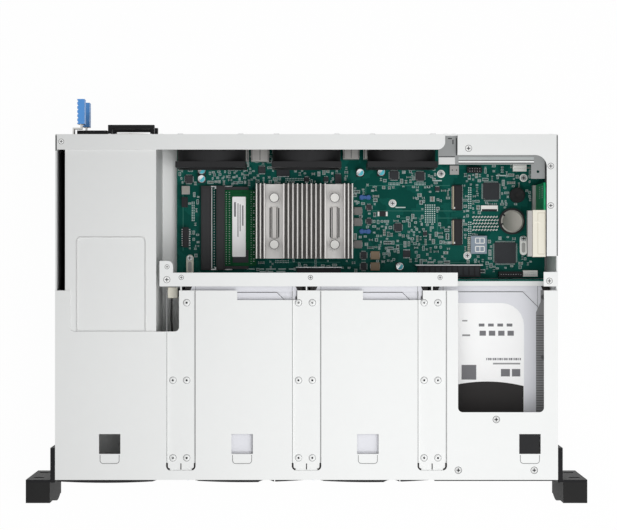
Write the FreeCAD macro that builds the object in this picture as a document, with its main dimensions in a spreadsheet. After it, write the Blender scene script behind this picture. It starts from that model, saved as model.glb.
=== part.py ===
"""Two-unit rackmount network storage server with its access cover taken off.

Millimetres, +X to the right seen from the front, +Y to the rear, +Z up.  Every y in this file is
measured from the front plane of the chassis, and `place` moves it into the part's own frame, whose
origin is the middle of the base of the whole object.
"""
import FreeCAD, Part
import os
import re
import Sketcher

SIZES = {
    # Chassis sheet metal
    "chassis_w": 432.0,
    "chassis_d": 297.0,
    "chassis_h": 88.0,
    "sheet_t": 1.2,
    # Rack ears: steel angle, moulded cap, rack slots
    "rack_w": 482.6,
    "ear_plate_t": 2.3,
    "ear_side_t": 4.2,
    "ear_plate_d": 27.4,
    "ear_margin": 1.0,
    "cap_depth": 20.0,
    "cap_bulge": 3.5,
    "cap_bulge_low": 8.0,
    "cap_bulge_high": 52.0,
    "cap_w": 20.7,
    "cap_wall": 2.2,
    "slot_edge": 8.75,
    "slot_pitch_z": 44.45,
    "slot_w": 6.8,
    "slot_len": 10.3,
    "driver_hole_r": 6.4,
    # Rail studs on the side walls
    "stud_shank_r": 2.0,
    "stud_head_r": 3.6,
    "stud_shank_len": 2.2,
    "stud_head_t": 1.3,
    "stud_pitch": 92.0,
    "stud_inset": 16.0,
    "stud_z": 46.0,
    # Front top cover
    "cover_gap": 7.7,
    "channel_w": 25.4,
    "channel_drop": 2.0,
    "channel_front": 8.0,
    "cover_lip": 2.4,
    "cover_corner_r": 4.0,
    "vent_w": 18.4,
    "vent_front": 22.3,
    "vent_rear": 39.4,
    "notch_w": 51.5,
    "notch_d": 8.2,
    "notch_shift": 20.3,
    "window_left": 130.2,
    "window_right": 204.0,
    "window_front": 58.1,
    "cutout_d": 35.3,
    "psu_cutout_left": 203.2,
    "side_cutout_right": 109.6,
    # Rear rails and crossbars
    "strip_d": 13.2,
    "strip_right": 119.1,
    "strip_corner_r": 6.6,
    "corner_left": 129.8,
    "corner_d": 17.9,
    "corner_arm_w": 9.6,
    "corner_inner_r": 10.0,
    "corner_arm_l": 104.8,
    "bar_left": 126.3,
    "bar_right": 129.9,
    "bar_lead": 4.2,
    "bar_w": 11.8,
    "bar_flange": 15.0,
    "bar_tab_w": 11.6,
    "bar_tab_d": 10.1,
    "bar_tab_r": 4.5,
    "wall_tab_w": 12.3,
    "wall_tab_d": 12.4,
    "screw_head_r": 2.9,
    # Drive bays
    "col_pitch": 108.0,
    "divider_t": 1.2,
    "divider_front": 9.0,
    "shelf_t": 1.0,
    "run_gap": 0.3,
    # Hard drives
    "drive_w": 101.6,
    "drive_l": 147.0,
    "drive_h": 26.1,
    "drive_front": 20.0,
    "drive_top_gap": 3.8,
    "drive_chamfer": 7.0,
    "drive_lid_t": 1.0,
    "lid_front": 4.0,
    "lid_side": 9.3,
    "lid_rear": 6.2,
    "lid_crop": 13.0,
    "drive_plug_w": 42.0,
    "drive_plug_h": 5.0,
    "drive_plug_d": 5.0,
    # Drive trays
    "tray_w": 104.0,
    "rail_t": 1.0,
    "rail_top_gap": 9.3,
    "tray_bar_t": 1.6,
    "tray_bar_w": 14.0,
    "tray_bar_inset": 16.0,
    "bezel_top_gap": 3.0,
    "bezel_lift": 0.8,
    "bezel_plate_y": 5.2,
    "bezel_plate_t": 2.0,
    "bezel_slot_h": 6.4,
    "bezel_slot_gap": 3.2,
    "arc_r": 690.0,
    "arc_sag": 2.4,
    "lever_left": 43.5,
    "lever_right": 26.0,
    "lever_back": 3.2,
    "button_right": 51.0,
    "part_gap": 1.0,
    "led_strip_y": 1.0,
    "pin_y": 2.0,
    "pin_r": 1.5,
    "pin_gap": 0.05,
    "knuckle_r": 2.8,
    "lug_t": 3.0,
    "stem_w": 8.0,
    "stem_h": 12.0,
    "stem_tail": 3.0,
    "grip_scoop_r": 13.0,
    "grip_scoop_d": 2.2,
    # Power supply cage and modules
    "cage_left": 207.5,
    "cage_w": 78.2,
    "cage_t": 1.0,
    "cage_lead": 6.0,
    "deboss_margin": 9.0,
    "deboss_d": 0.5,
    "deboss_l": 99.7,
    "psu_w": 73.5,
    "psu_top_gap": 0.8,
    "psu_l": 185.0,
    "inlet_w": 26.0,
    "inlet_h": 20.0,
    "inlet_side": 6.0,
    "inlet_low": 3.6,
    "inlet_flange_t": 4.4,
    "inlet_wall": 2.6,
    "inlet_body_d": 18.0,
    "inlet_depth": 15.0,
    "inlet_pin_w": 4.0,
    "inlet_pin_t": 1.8,
    "inlet_pin_len": 8.0,
    "inlet_pin_pitch": 6.5,
    "inlet_crop": 4.9,
    "handle_w": 40.0,
    "handle_reach": 9.2,
    "handle_t": 3.4,
    "handle_h": 9.0,
    "psu_fan_side": 20.6,
    "psu_bore_wall": 1.4,
    "psu_bore_d": 26.0,
    "psu_tip_gap": 0.8,
    "psu_hub_r": 8.5,
    "psu_hub_len": 15.0,
    "psu_blade_chord": 15.0,
    "guard_ring_r": 14.9,
    "guard_inner_r": 8.2,
    "guard_wire": 1.2,
    "latch_reach": 30.6,
    "latch_side": 4.2,
    "latch_top_gap": 3.0,
    "latch_h": 9.6,
    "latch_t": 1.2,
    "latch_step_y": 6.0,
    "latch_step_x": 6.6,
    "latch_pin_in": 4.0,
    "latch_pin_r": 0.9,
    "latch_eye_r": 1.9,
    "latch_well_d": 7.0,
    "latch_well_w": 6.4,
    "grip_len": 21.5,
    "grip_w": 6.2,
    "grip_over": 1.2,
    "grip_rib": 0.7,
    # Boards
    "pcb_t": 1.6,
    "board_left": 116.0,
    "board_w": 329.0,
    "board_gap": 0.6,
    "board_rear_gap": 1.6,
    "board_lift": 7.2,
    "standoff_r": 2.8,
    "plane_gap": 3.4,
    "plane_low": 12.0,
    "plane_top_gap": 3.3,
    "plane_window_w": 67.7,
    "plane_edge": 2.0,
    "plane_socket_d": 6.0,
    "power_gap": 1.0,
    "power_socket_w": 48.0,
    "power_socket_h": 12.0,
    "power_socket_d": 3.4,
    # Heatsink
    "sink_left": 71.3,
    "sink_front": 17.8,
    "sink_w": 85.7,
    "sink_d": 66.3,
    "sink_base_t": 4.0,
    "sink_fin_h": 20.0,
    "sink_fin_t": 1.1,
    "sink_lift": 2.4,
    "sink_lane_left": 8.0,
    "sink_lane_w": 16.0,
    "processor_w": 34.3,
    "pin_head_r": 3.8,
    "pin_head_t": 3.0,
    "push_pin_r": 1.9,
    "push_pin_len": 12.0,
    "push_inset_y": 12.4,
    # Rear fans
    "fan_low_gap": 0.8,
    "fan_top_gap": 1.0,
    "fan_l": 27.0,
    "fan_pitch": 82.8,
    "fan_wall": 1.5,
    "fan_flange_t": 5.0,
    "fan_pocket": 4.0,
    "fan_tip_gap": 0.9,
    "fan_hub_r": 14.0,
    "fan_hub_len": 18.0,
    "fan_motor_t": 4.0,
    "fan_strut_w": 4.0,
    "fan_shaft_r": 2.0,
    "fan_blade_chord": 20.0,
    "blade_t": 1.4,
    "blade_count": 7,
    "pitch_root": 38.0,
    "pitch_tip": 56.0,
    "spin_gap": 0.05,
    "grille_ring": 3.6,
    "grille_bar": 2.6,
    # Front left bezel and control panel
    "bezel_right": 127.6,
    "bezel_wall": 2.4,
    "bezel_depth": 8.0,
    "bezel_chamfer": 5.0,
    "vent_slot_w": 3.6,
    "vent_slot_pitch": 7.2,
    "panel_t": 3.0,
    "panel_w": 104.0,
    "panel_top_gap": 3.5,
    "panel_box_left": 126.0,
    "panel_box_right": 200.0,
    "panel_box_d": 55.0,
    "power_key_r": 6.0,
    "power_key_x": 189.0,
    "power_key_travel": 1.2,
    "key_stem_r": 2.0,
    "key_flange": 1.2,
    "usb_w": 13.2,
    "usb_h": 5.8,
    "usb_x": 150.0,
    # Rear ports and the blanked card slot
    "lan_x": 41.4,
    "lan_pitch": 18.0,
    "lan_w": 16.0,
    "lan_h": 13.4,
    "lan_d": 20.5,
    "stack_x": 39.6,
    "stack_w": 14.2,
    "stack_h": 15.0,
    "stack_d": 18.5,
    "port_wall": 1.4,
    "port_mouth": 12.0,
    "port_proud": 0.8,
    "card_left": 134.0,
    "card_right": 203.0,
    "card_z": 70.0,
    "card_h": 12.0,
    "blank_margin": 3.0,
    "shelf_left": 121.0,
    "shelf_right": 205.4,
    "shelf_d": 24.6,
    "shelf_top": 81.4,
    "shelf_tab_w": 11.8,
    "shelf_tab_d": 12.2,
    "shelf_hole_r": 1.2,
    # Offsets of the four cover vents from their columns
    "vent_shift_1": -7.1,
    "vent_shift_2": -1.3,
    "vent_shift_3": -1.3,
    "vent_shift_4": 29.9,
    # Screws of the control panel, from the panel's own box
    "panel_screw_side": 4.4,
    "panel_screw_front": 8.3,
    "panel_screw_rear": 51.9,
    "panel_board_y": 14.0,
    "power_key_proud": 0.8,
    "usb_wall": 0.7,
    "bezel_edge": 1.7,
    "vent_slot_end": 12.0,
    # Smaller board parts
    "standoff_edge": 6.0,
    "module_l": 67.6,
    "module_w": 28.0,
    "module_t": 1.2,
    "module_lift": 3.0,
    "module_jaw": 2.6,
    "module_jaw_l": 21.0,
    "module_chip_w": 14.0,
    "module_chip_d": 11.3,
    "riser_top_gap": 2.8,
    "slot_body_w": 9.5,
    "slot_body_h": 8.0,
    "slot_body_l": 40.3,
    "coin_r": 10.0,
    "coin_t": 3.2,
    "coin_lift": 1.8,
    "coin_notch": 9.0,
}
# Board parts: middle from the board's left front corner, width, depth and height
CHIPS = {
    "chip_audio": (10.7, 88.6, 7.0, 7.0, 1.2),
    "chip_network_a": (194.2, 92.2, 8.0, 8.0, 1.2),
    "chip_network_b": (217.5, 91.3, 8.0, 8.0, 1.2),
    "chip_clock": (197.8, 45.6, 7.0, 7.0, 1.2),
    "chip_driver_a": (171.8, 63.5, 5.0, 5.0, 1.0),
    "chip_driver_b": (171.8, 51.0, 5.0, 5.0, 1.0),
    "chip_management": (281.0, 77.9, 14.3, 15.2, 1.6),
    "chip_storage": (293.6, 22.8, 19.0, 18.6, 1.6),
    "chip_switch_a": (167.0, 20.6, 5.4, 6.6, 1.2),
    "chip_switch_b": (167.0, 10.7, 5.4, 6.6, 1.2),
}
SOCKETS = {
    "spare_socket": (26.2, 45.1, 8.8, 75.0, 5.2),
    "card_socket_a": (250.6, 72.0, 8.9, 22.4, 4.2),
    "card_socket_b": (250.6, 41.2, 8.9, 23.2, 4.2),
    "header_left": (7.2, 68.0, 5.2, 9.0, 6.0),
    "header_pins": (8.1, 36.7, 5.2, 17.8, 8.4),
    "header_box": (8.1, 78.8, 7.0, 7.2, 5.0),
    "header_grey": (247.9, 96.7, 8.0, 8.0, 5.0),
    "header_black": (265.8, 96.7, 13.0, 5.0, 8.0),
    "header_white": (306.1, 98.5, 12.0, 6.0, 7.0),
    "ribbon_socket": (279.4, 62.7, 15.0, 5.0, 2.4),
    "front_header": (298.0, 3.6, 21.5, 5.0, 8.4),
    "front_white": (315.5, 4.4, 13.0, 5.6, 7.0),
    "plane_header": (243.0, 6.4, 56.0, 10.0, 9.0),
    "plane_strip": (127.1, 7.4, 39.0, 4.0, 6.0),
}
CAPACITORS = {
    "can_a": (22.4, 96.3, 6.5, 6.5, 8.0),
    "can_b": (22.4, 88.9, 6.5, 6.5, 8.0),
    "can_c": (163.8, 94.4, 6.5, 6.5, 8.0),
    "can_d": (182.6, 94.9, 6.5, 6.5, 8.0),
    "can_e": (199.1, 10.7, 6.5, 6.5, 8.0),
}
COILS = {
    "coil_a": (162.0, 60.2, 7.0, 7.0, 4.6),
    "coil_b": (162.0, 50.4, 7.0, 7.0, 4.6),
    "coil_c": (162.0, 30.4, 7.0, 7.0, 4.6),
    "coil_d": (177.2, 20.6, 8.0, 7.2, 5.4),
    "coil_e": (177.2, 10.7, 8.0, 7.2, 5.4),
}
OTHER_PARTS = {
    "module_socket": (39.3, 45.1, 7.6, 75.0, 9.0),
    "riser_socket": (321.0, 51.0, 7.0, 64.0, 8.0),
    "battery_holder": (299.5, 51.0, 23.4, 23.4, 5.4),
    "buzzer": (304.0, 74.2, 13.4, 13.4, 7.5),
    "digits": (269.6, 30.0, 14.3, 16.0, 7.0),
}
for layout in (CHIPS, SOCKETS, CAPACITORS, COILS, OTHER_PARTS):
    for name, places in layout.items():
        for letter, place_value in zip(("u", "v", "w", "d", "tall"), places):
            SIZES[f"{name}_{letter}"] = place_value
MIDDLE_FINS = 10
EDGE_FINS = 3
MODULE_CHIPS = 4
VENT_SLOTS = 9
BAYS = {
    "upper_left": (-0.5, 1),
    "upper_middle": (0.5, 1),
    "lower_left": (-0.5, 0),
    "lower_middle": (0.5, 0),
    "lower_right": (1.5, 0),
}
SUPPLIES = {"upper_supply": 1, "lower_supply": 0}
FANS = {"left": -1, "middle": 0, "right": 1}
GRIP_RIBS = 6
LAN_COUNT = 4
STACK_COUNT = 2
UP = FreeCAD.Vector(0, 0, 1)

doc = FreeCAD.newDocument("rack_server")
dims = doc.addObject("Spreadsheet::Sheet", "dims")
for row, (alias, size) in enumerate(SIZES.items(), start=1):
    dims.set(f"A{row}", alias)
    dims.set(f"B{row}", str(size))
    dims.setAlias(f"B{row}", alias)
doc.recompute()

# What fits in, seats on or lines up with another piece, from the sizes above and its clearance
TIED = {
    "slot_pitch_x": "rack_w - 2 * slot_edge",
    "plane_y": "drive_front + drive_l + plane_gap",
    "cover_d": "plane_y - cover_gap",
    "bar_front": "plane_y - bar_lead",
    "bar_rear": "bar_front + bar_w",
    "board_front": "plane_y + pcb_t + board_gap",
    "board_d": "chassis_d - sheet_t - board_rear_gap - board_front",
    "stud_rear_y": "chassis_d - stud_inset",
    "stud_front_y": "stud_rear_y - stud_pitch",
    "corner_arm_front": "chassis_d - corner_arm_l",
    "power_board_y": "chassis_d - psu_l - power_gap - power_socket_d - pcb_t",
    "cage_front": "power_board_y - cage_lead",
    "deboss_rear": "cage_front + deboss_margin + deboss_l",
    "psu_cutout_front": "cover_d - cutout_d",
    "row_h": "(chassis_h - shelf_t) / 2 - sheet_t",
    "low_bar_z": "(chassis_h + shelf_t) / 2",
    "drive_lift": "row_h - drive_h - drive_top_gap",
    "bezel_h": "row_h - bezel_lift - bezel_top_gap",
    "rail_h": "row_h - rail_top_gap",
    "panel_h": "row_h - bezel_lift - panel_top_gap",
    "psu_h": "row_h - sheet_t - run_gap - psu_top_gap",
    "psu_bore_r": "psu_h / 2 - psu_bore_wall",
    "psu_tip_r": "psu_bore_r - psu_tip_gap",
    "latch_low": "psu_h - latch_h - latch_top_gap",
    "plane_high": "chassis_h - sheet_t - plane_top_gap",
    "board_top": "sheet_t + board_lift + pcb_t",
    "fan_high": "chassis_h - sheet_t - fan_top_gap",
    "fan_w": "fan_high - board_top - stack_h - fan_low_gap",
    "fan_z": "fan_high - fan_w / 2",
    "fan_bore_r": "fan_w / 2 - fan_wall",
    "fan_tip_r": "fan_bore_r - fan_tip_gap",
    "riser_high": "chassis_h - sheet_t - riser_top_gap",
}
# Places worked out from the driving sizes
FRONT = "(cap_depth + cap_bulge - latch_reach - chassis_d) / 2"
HALF_W = "(chassis_w / 2)"
WALL_IN = "(chassis_w / 2 - sheet_t)"
LID = "(chassis_h - sheet_t)"
REAR_IN = "(chassis_d - sheet_t)"
SHELF_LOW = "((chassis_h - shelf_t) / 2)"
BOARD_TOP = "(board_top)"
PLANE_HALF = "(col_pitch + plane_edge)"
PANEL_SCREWS = (
    ("(panel_box_left + panel_box_right) / 2", "panel_screw_rear"),
    ("panel_box_left + panel_screw_side", "panel_screw_front"),
    ("panel_box_right - panel_screw_side", "panel_screw_front"),
)

BLADE_ROOT = 0.8
BLADE_TIP = 1.1
WORD = re.compile(r"[a-z][a-z_0-9]*")
TURNS = {
    "z": FreeCAD.Rotation(),
    "y": FreeCAD.Rotation(FreeCAD.Vector(1, 0, 0), -90),
    "x": FreeCAD.Rotation(FreeCAD.Vector(0, 1, 0), 90),
}
nodes = {}


def formula(text):
    """Spell out the tied values of an expression and put the sheet's name before each size."""
    text = str(text)
    while any(word in TIED for word in WORD.findall(text)):
        text = WORD.sub(lambda word: f"({TIED[word[0]]})" if word[0] in TIED else word[0], text)
    return WORD.sub(lambda word: f"dims.{word[0]}" if word[0] in SIZES else word[0], text)


def value(text):
    """Present value of an expression of sizes."""
    return float(dims.evalExpression(formula(text)))


def bind(thing, prop, text):
    """Tie a property to an expression of sizes."""
    thing.setExpression(prop, formula(text))


def place(thing, x, y, z):
    """Put a thing at x, y behind the front plane, and z."""
    bind(thing, "Placement.Base.x", x)
    bind(thing, "Placement.Base.y", f"{FRONT} + ({y})")
    bind(thing, "Placement.Base.z", z)


def block(x0, x1, y0, y1, z0, z1):
    """Box between two corners."""
    solid = doc.addObject("Part::Box", "block")
    bind(solid, "Length", f"({x1}) - ({x0})")
    bind(solid, "Width", f"({y1}) - ({y0})")
    bind(solid, "Height", f"({z1}) - ({z0})")
    place(solid, x0, y0, z0)
    return solid


def rod(axis, x, y, z, radius, length):
    """Cylinder that starts at x, y, z and runs along an axis."""
    solid = doc.addObject("Part::Cylinder", "rod")
    bind(solid, "Radius", radius)
    bind(solid, "Height", length)
    solid.Placement = FreeCAD.Placement(FreeCAD.Vector(), TURNS[axis])
    place(solid, x, y, z)
    return solid


def join(*shapes):
    """Shapes fused into one solid."""
    if len(shapes) == 1:
        return shapes[0]
    fused = doc.addObject("Part::MultiFuse", "join")
    fused.Shapes = list(shapes)
    fused.Refine = True
    return fused


def cut(base, *tools):
    """A shape with tools taken out of it."""
    result = doc.addObject("Part::Cut", "cut")
    result.Base = base
    result.Tool = join(*tools)
    result.Refine = True
    return result


def overlap(first, second):
    """What two shapes share."""
    result = doc.addObject("Part::Common", "overlap")
    result.Base = first
    result.Tool = second
    return result


def rounded(shape, radius, direction):
    """A box with the edges along one direction rounded."""
    doc.recompute()
    result = doc.addObject("Part::Fillet", "rounded")
    result.Base = shape
    edges = []
    for number, edge in enumerate(shape.Shape.Edges, start=1):
        run = edge.Vertexes[-1].Point - edge.Vertexes[0].Point
        if abs(run.normalize().dot(direction)) > 0.999:
            edges.append((number, value(radius), value(radius)))
    result.Edges = edges
    return result


def node(label, *solids):
    """Name one solid, or several in one group, as a sub-part."""
    thing = solids[0]
    if len(solids) > 1:
        thing = doc.addObject("Part::Compound", "group")
        thing.Links = list(solids)
    thing.Label = label
    nodes[label] = thing


def origin_feature(body, role):
    """One of a body's own origin planes or axes."""
    return next(item for item in body.Origin.OriginFeatures if item.Role == role)


def outline(body, role, points):
    """Closed sketch on a body's plane; a point (u, v, radius) starts an arc to the next point.

    A positive radius bows the arc to the right of the way it runs.
    """
    sketch = body.newObject("Sketcher::SketchObject", "outline")
    sketch.AttachmentSupport = [(origin_feature(body, role), "")]
    sketch.MapMode = "FlatFace"
    spots = [FreeCAD.Vector(value(point[0]), value(point[1]), 0) for point in points]
    ends = []
    for index, point in enumerate(points):
        start = spots[index]
        end = spots[(index + 1) % len(spots)]
        edge = Part.LineSegment(start, end)
        order = (1, 2)
        if len(point) == 3:
            radius = value(point[2])
            chord = end - start
            right = FreeCAD.Vector(chord.y, -chord.x, 0).normalize()
            sag = abs(radius) - (radius ** 2 - chord.Length ** 2 / 4) ** 0.5
            if radius > 0:
                edge = Part.Arc(start, (start + end) / 2 + right * sag, end)
            else:
                edge = Part.Arc(end, (start + end) / 2 - right * sag, start)
                order = (2, 1)
        sketch.addGeometry(edge)
        ends.append(order)
    for index, point in enumerate(points):
        after = (index + 1) % len(points)
        meet = Sketcher.Constraint("Coincident", index, ends[index][1], after, ends[after][0])
        sketch.addConstraint(meet)
        for kind, text in (("DistanceX", point[0]), ("DistanceY", point[1])):
            limit = Sketcher.Constraint(kind, -1, 1, index, ends[index][0], value(text))
            number = sketch.addConstraint(limit)
            sketch.setExpression(f"Constraints[{number}]", formula(text))
        if len(point) == 3:
            number = sketch.addConstraint(Sketcher.Constraint("Radius", index, abs(value(point[2]))))
            sketch.setExpression(f"Constraints[{number}]", formula(f"abs({point[2]})"))
    return sketch


def pad(body, sketch, length, reverse=False):
    """Pad a sketch of a body by a length."""
    feature = body.newObject("PartDesign::Pad", "pad")
    feature.Profile = sketch
    bind(feature, "Length", length)
    feature.Reversed = reverse
    return feature


# Chassis tray: floor and both side walls, folded from one sheet
chassis = doc.addObject("PartDesign::Body", "chassis")
tray_profile = outline(chassis, "XZ_Plane", [
    (f"-{HALF_W}", 0),
    (HALF_W, 0),
    (HALF_W, LID),
    (WALL_IN, LID),
    (WALL_IN, "sheet_t"),
    (f"-{WALL_IN}", "sheet_t"),
    (f"-{WALL_IN}", LID),
    (f"-{HALF_W}", LID),
])
pad(chassis, tray_profile, "chassis_d", reverse=True)
place(chassis, 0, 0, 0)
node("chassis_tray", chassis)

# Rear panel with the supply opening, fan grilles, port openings and a blanked card slot
def grille(x):
    """Rings of one punched fan grille, parted by two crossing bars."""
    rings = []
    for ring in range(4):
        outer = f"(fan_bore_r - {ring} * (grille_ring + grille_bar))"
        disc = rod("y", x, f"{REAR_IN} - sheet_t", "fan_z", outer, "3 * sheet_t")
        core = rod("y", x, f"{REAR_IN} - sheet_t", "fan_z", f"{outer} - grille_ring", "3 * sheet_t")
        rings.append(cut(disc, core))
    reach = "(fan_bore_r + grille_bar)"
    through = (f"{REAR_IN} - 2 * sheet_t", "chassis_d + 2 * sheet_t")
    upright = block(f"{x} - grille_bar / 2", f"{x} + grille_bar / 2", *through,
                    f"fan_z - {reach}", f"fan_z + {reach}")
    level = block(f"{x} - {reach}", f"{x} + {reach}", *through,
                  "fan_z - grille_bar / 2", "fan_z + grille_bar / 2")
    return cut(join(*rings), upright, level)


def port_span(index):
    """Left and right side of a rear port: network jacks first, then serial-bus stacks."""
    if index < LAN_COUNT:
        middle = f"(0 - lan_x - {index} * lan_pitch)"
        return f"{middle} - lan_w / 2", f"{middle} + lan_w / 2", "lan_h", "lan_d"
    middle = f"(stack_x + {index - LAN_COUNT} * lan_pitch)"
    return f"{middle} - stack_w / 2", f"{middle} + stack_w / 2", "stack_h", "stack_d"


def rear_panel():
    """Panel with its inner shelf over the card slot, and the plate that blanks the slot."""
    sheet = block(f"0 - {WALL_IN}", WALL_IN, REAR_IN, "chassis_d", "sheet_t", LID)
    through = (f"{REAR_IN} - sheet_t", "chassis_d + sheet_t")
    openings = [block("cage_t - cage_left", "cage_w - cage_t - cage_left", *through,
                      "0", f"{LID} - sheet_t")]
    for index in range(LAN_COUNT + STACK_COUNT):
        left, right, height, _ = port_span(index)
        openings.append(block(f"{left} - run_gap", f"{right} + run_gap", *through,
                              f"{BOARD_TOP} - run_gap", f"{BOARD_TOP} + {height} + run_gap"))
    openings.append(block("card_left", "card_right", *through,
                          "card_z - card_h / 2", "card_z + card_h / 2"))
    openings.extend(grille(f"({spot} * fan_pitch)") for spot in FANS.values())
    blank = block("card_left - blank_margin", "card_right + blank_margin",
                  f"{REAR_IN} - sheet_t", REAR_IN,
                  "card_z - card_h / 2 - blank_margin", "card_z + card_h / 2 + blank_margin")
    node("rear_panel", join(cut(sheet, *openings), card_shelf()), blank)


def card_shelf():
    """Shelf folded in from the panel over the card slot, with a drilled tab at its right end."""
    low = "(shelf_top - sheet_t)"
    front = f"({REAR_IN} - shelf_d)"
    plate = block("shelf_left", "shelf_right", front, REAR_IN, low, "shelf_top")
    tab = block("shelf_right - shelf_tab_w", "shelf_right", f"{front} - shelf_tab_d", front, low, "shelf_top")
    hole = rod("z", "shelf_right - shelf_tab_w / 2", f"{front} - shelf_tab_d / 2", f"{low} - sheet_t",
               "shelf_hole_r", "3 * sheet_t")
    return cut(join(plate, tab), hole)


def rear_ports():
    """Shielded jacks on the rear edge of the mainboard, open to the rear."""
    jacks = []
    for index in range(LAN_COUNT + STACK_COUNT):
        left, right, height, depth = port_span(index)
        shell = block(left, right, f"chassis_d - {depth}", "chassis_d + port_proud",
                      BOARD_TOP, f"{BOARD_TOP} + {height}")
        mouth = block(f"{left} + port_wall", f"{right} - port_wall",
                      "chassis_d - port_mouth", "chassis_d + 2 * port_proud",
                      f"{BOARD_TOP} + port_wall", f"{BOARD_TOP} + {height} - port_wall")
        jacks.append(cut(shell, mouth))
    node("rear_ports", *jacks)


# Front top cover: one sheet with pressed channels over the dividers
def front_cover():
    """Plate with channels, vents, notches, the drive window and the supply cut-out."""
    plate = block(f"0 - {HALF_W}", HALF_W, "0", "cover_d", LID, "chassis_h")
    lip = block(f"run_gap - {WALL_IN}", f"{WALL_IN} - run_gap", "0", "sheet_t",
                f"{LID} - cover_lip", LID)
    pans = []
    tools = []
    beyond = "cover_d + 2 * cover_corner_r"
    for column in (-1, 0, 1):
        middle = f"({column} * col_pitch)"
        left = f"{middle} - channel_w / 2"
        right = f"{middle} + channel_w / 2"
        pans.append(block(f"{left} - sheet_t", f"{right} + sheet_t", "channel_front - sheet_t",
                          "cover_d", f"{LID} - channel_drop", LID))
        channel = block(left, right, "channel_front", beyond,
                        "chassis_h - channel_drop", "chassis_h + sheet_t")
        tools.append(rounded(channel, "cover_corner_r", UP))
    low = f"{LID} - 2 * channel_drop"
    high = "chassis_h + sheet_t"
    for column in range(4):
        middle = f"({column} - 1.5) * col_pitch + vent_shift_{column + 1}"
        tools.append(block(f"{middle} - vent_w / 2", f"{middle} + vent_w / 2",
                           "vent_front", "vent_rear", low, high))
    for column in (-0.5, 0.5):
        middle = f"{column} * col_pitch + notch_shift"
        tools.append(block(f"{middle} - notch_w / 2", f"{middle} + notch_w / 2",
                           "cover_d - notch_d", beyond, low, high))
    window = block("window_left", "window_right", "window_front", beyond, low, high)
    tools.append(rounded(window, "cover_corner_r", UP))
    supply = block("0 - psu_cutout_left", "0 - side_cutout_right", "psu_cutout_front", beyond, low, high)
    tools.append(rounded(supply, "cover_corner_r", UP))
    for x, y in PANEL_SCREWS:
        tools.append(rod("z", x, y, LID, "screw_head_r + pin_gap", "2 * sheet_t"))
    node("front_top_cover", cut(join(plate, lip, *pans), *tools))


# Rails and bars across the open rear half
def rails_and_bars():
    """Rear strip, rear corner bracket, mid crossbar, wall tab and lower bar of the fourth column."""
    strip = block(f"run_gap - {WALL_IN}", "strip_right", "chassis_d - strip_d", "chassis_d",
                  LID, "chassis_h")
    corner = block("corner_left", HALF_W, "chassis_d - corner_d", "chassis_d", LID, "chassis_h")
    arm = block(f"{HALF_W} - corner_arm_w", HALF_W, "corner_arm_front", "chassis_d - corner_d",
                LID, "chassis_h")
    inner_x = f"({HALF_W} - corner_arm_w - corner_inner_r)"
    inner_y = "(chassis_d - corner_d - corner_inner_r)"
    web = block(inner_x, f"{HALF_W} - corner_arm_w", inner_y, "chassis_d - corner_d", LID, "chassis_h")
    bend = rod("z", inner_x, inner_y, f"{LID} - sheet_t", "corner_inner_r", "3 * sheet_t")
    node("rear_rails", eased(strip, "strip_right", "(chassis_d - strip_d)", -1, "strip_corner_r"),
         join(corner, arm, cut(web, bend)))
    bar = block("0 - bar_left", "bar_right", "bar_front", "bar_rear", LID, "chassis_h")
    tab = block("0 - bar_left", "bar_tab_w - bar_left", "bar_rear", "bar_rear + bar_tab_d",
                LID, "chassis_h")
    tab = eased(tab, "(bar_tab_w - bar_left)", "(bar_rear + bar_tab_d)", 1, "bar_tab_r")
    flange = block(f"0 - {PLANE_HALF}", PLANE_HALF, "plane_y + pcb_t", "plane_y + pcb_t + sheet_t",
                   f"{LID} - bar_flange", LID)
    low = block("bar_right", f"{WALL_IN} - run_gap", "bar_front", "plane_y",
                "low_bar_z - sheet_t", "low_bar_z")
    wall_tab = block(f"{HALF_W} - wall_tab_w", HALF_W, "bar_front", "bar_front + wall_tab_d",
                     LID, "chassis_h")
    node("crossbars", join(bar, tab, flange), low, wall_tab)


def eased(plate, x, y, side, radius):
    """A top plate with its right corner at x, y rounded off: side 1 is a rear corner, -1 a front one."""
    middle_x = f"({x} - {radius})"
    middle_y = f"({y} - {side} * {radius})"
    reach = (middle_y, f"{middle_y} + 2 * {radius}") if side > 0 else (f"{middle_y} - 2 * {radius}", middle_y)
    corner = block(middle_x, f"{middle_x} + 2 * {radius}", *reach, f"{LID} - sheet_t", "chassis_h + sheet_t")
    keep = rod("z", middle_x, middle_y, f"{LID} - 2 * sheet_t", radius, "5 * sheet_t")
    return cut(plate, cut(corner, keep))


# Drive bay cage: upright dividers and the shelf between the two rows
def bay_cage():
    """Dividers under the cover's channels, with a shelf for the upper row."""
    back = "plane_y - run_gap"
    walls = []
    for column in (-1, 0, 1):
        middle = f"({column} * col_pitch)"
        walls.append(block(f"{middle} - divider_t / 2", f"{middle} + divider_t / 2", "divider_front",
                           back, "sheet_t", f"{LID} - channel_drop"))
    shelf_high = f"{SHELF_LOW} + shelf_t"
    shelf = block("0 - col_pitch", "col_pitch", "divider_front", "drive_front + drive_l - drive_plug_d",
                  SHELF_LOW, shelf_high)
    panel_shelf = block("col_pitch", WALL_IN, "divider_front", "panel_box_d", SHELF_LOW, shelf_high)
    node("bay_cage", join(*walls, shelf, panel_shelf))


# Rack ears: steel angles with moulded caps, and the rail studs
def beside(side, inner, outer):
    """Left and right limits of a span that is mirrored to one side."""
    return (inner, outer) if side > 0 else (f"0 - ({outer})", f"0 - ({inner})")


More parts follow.
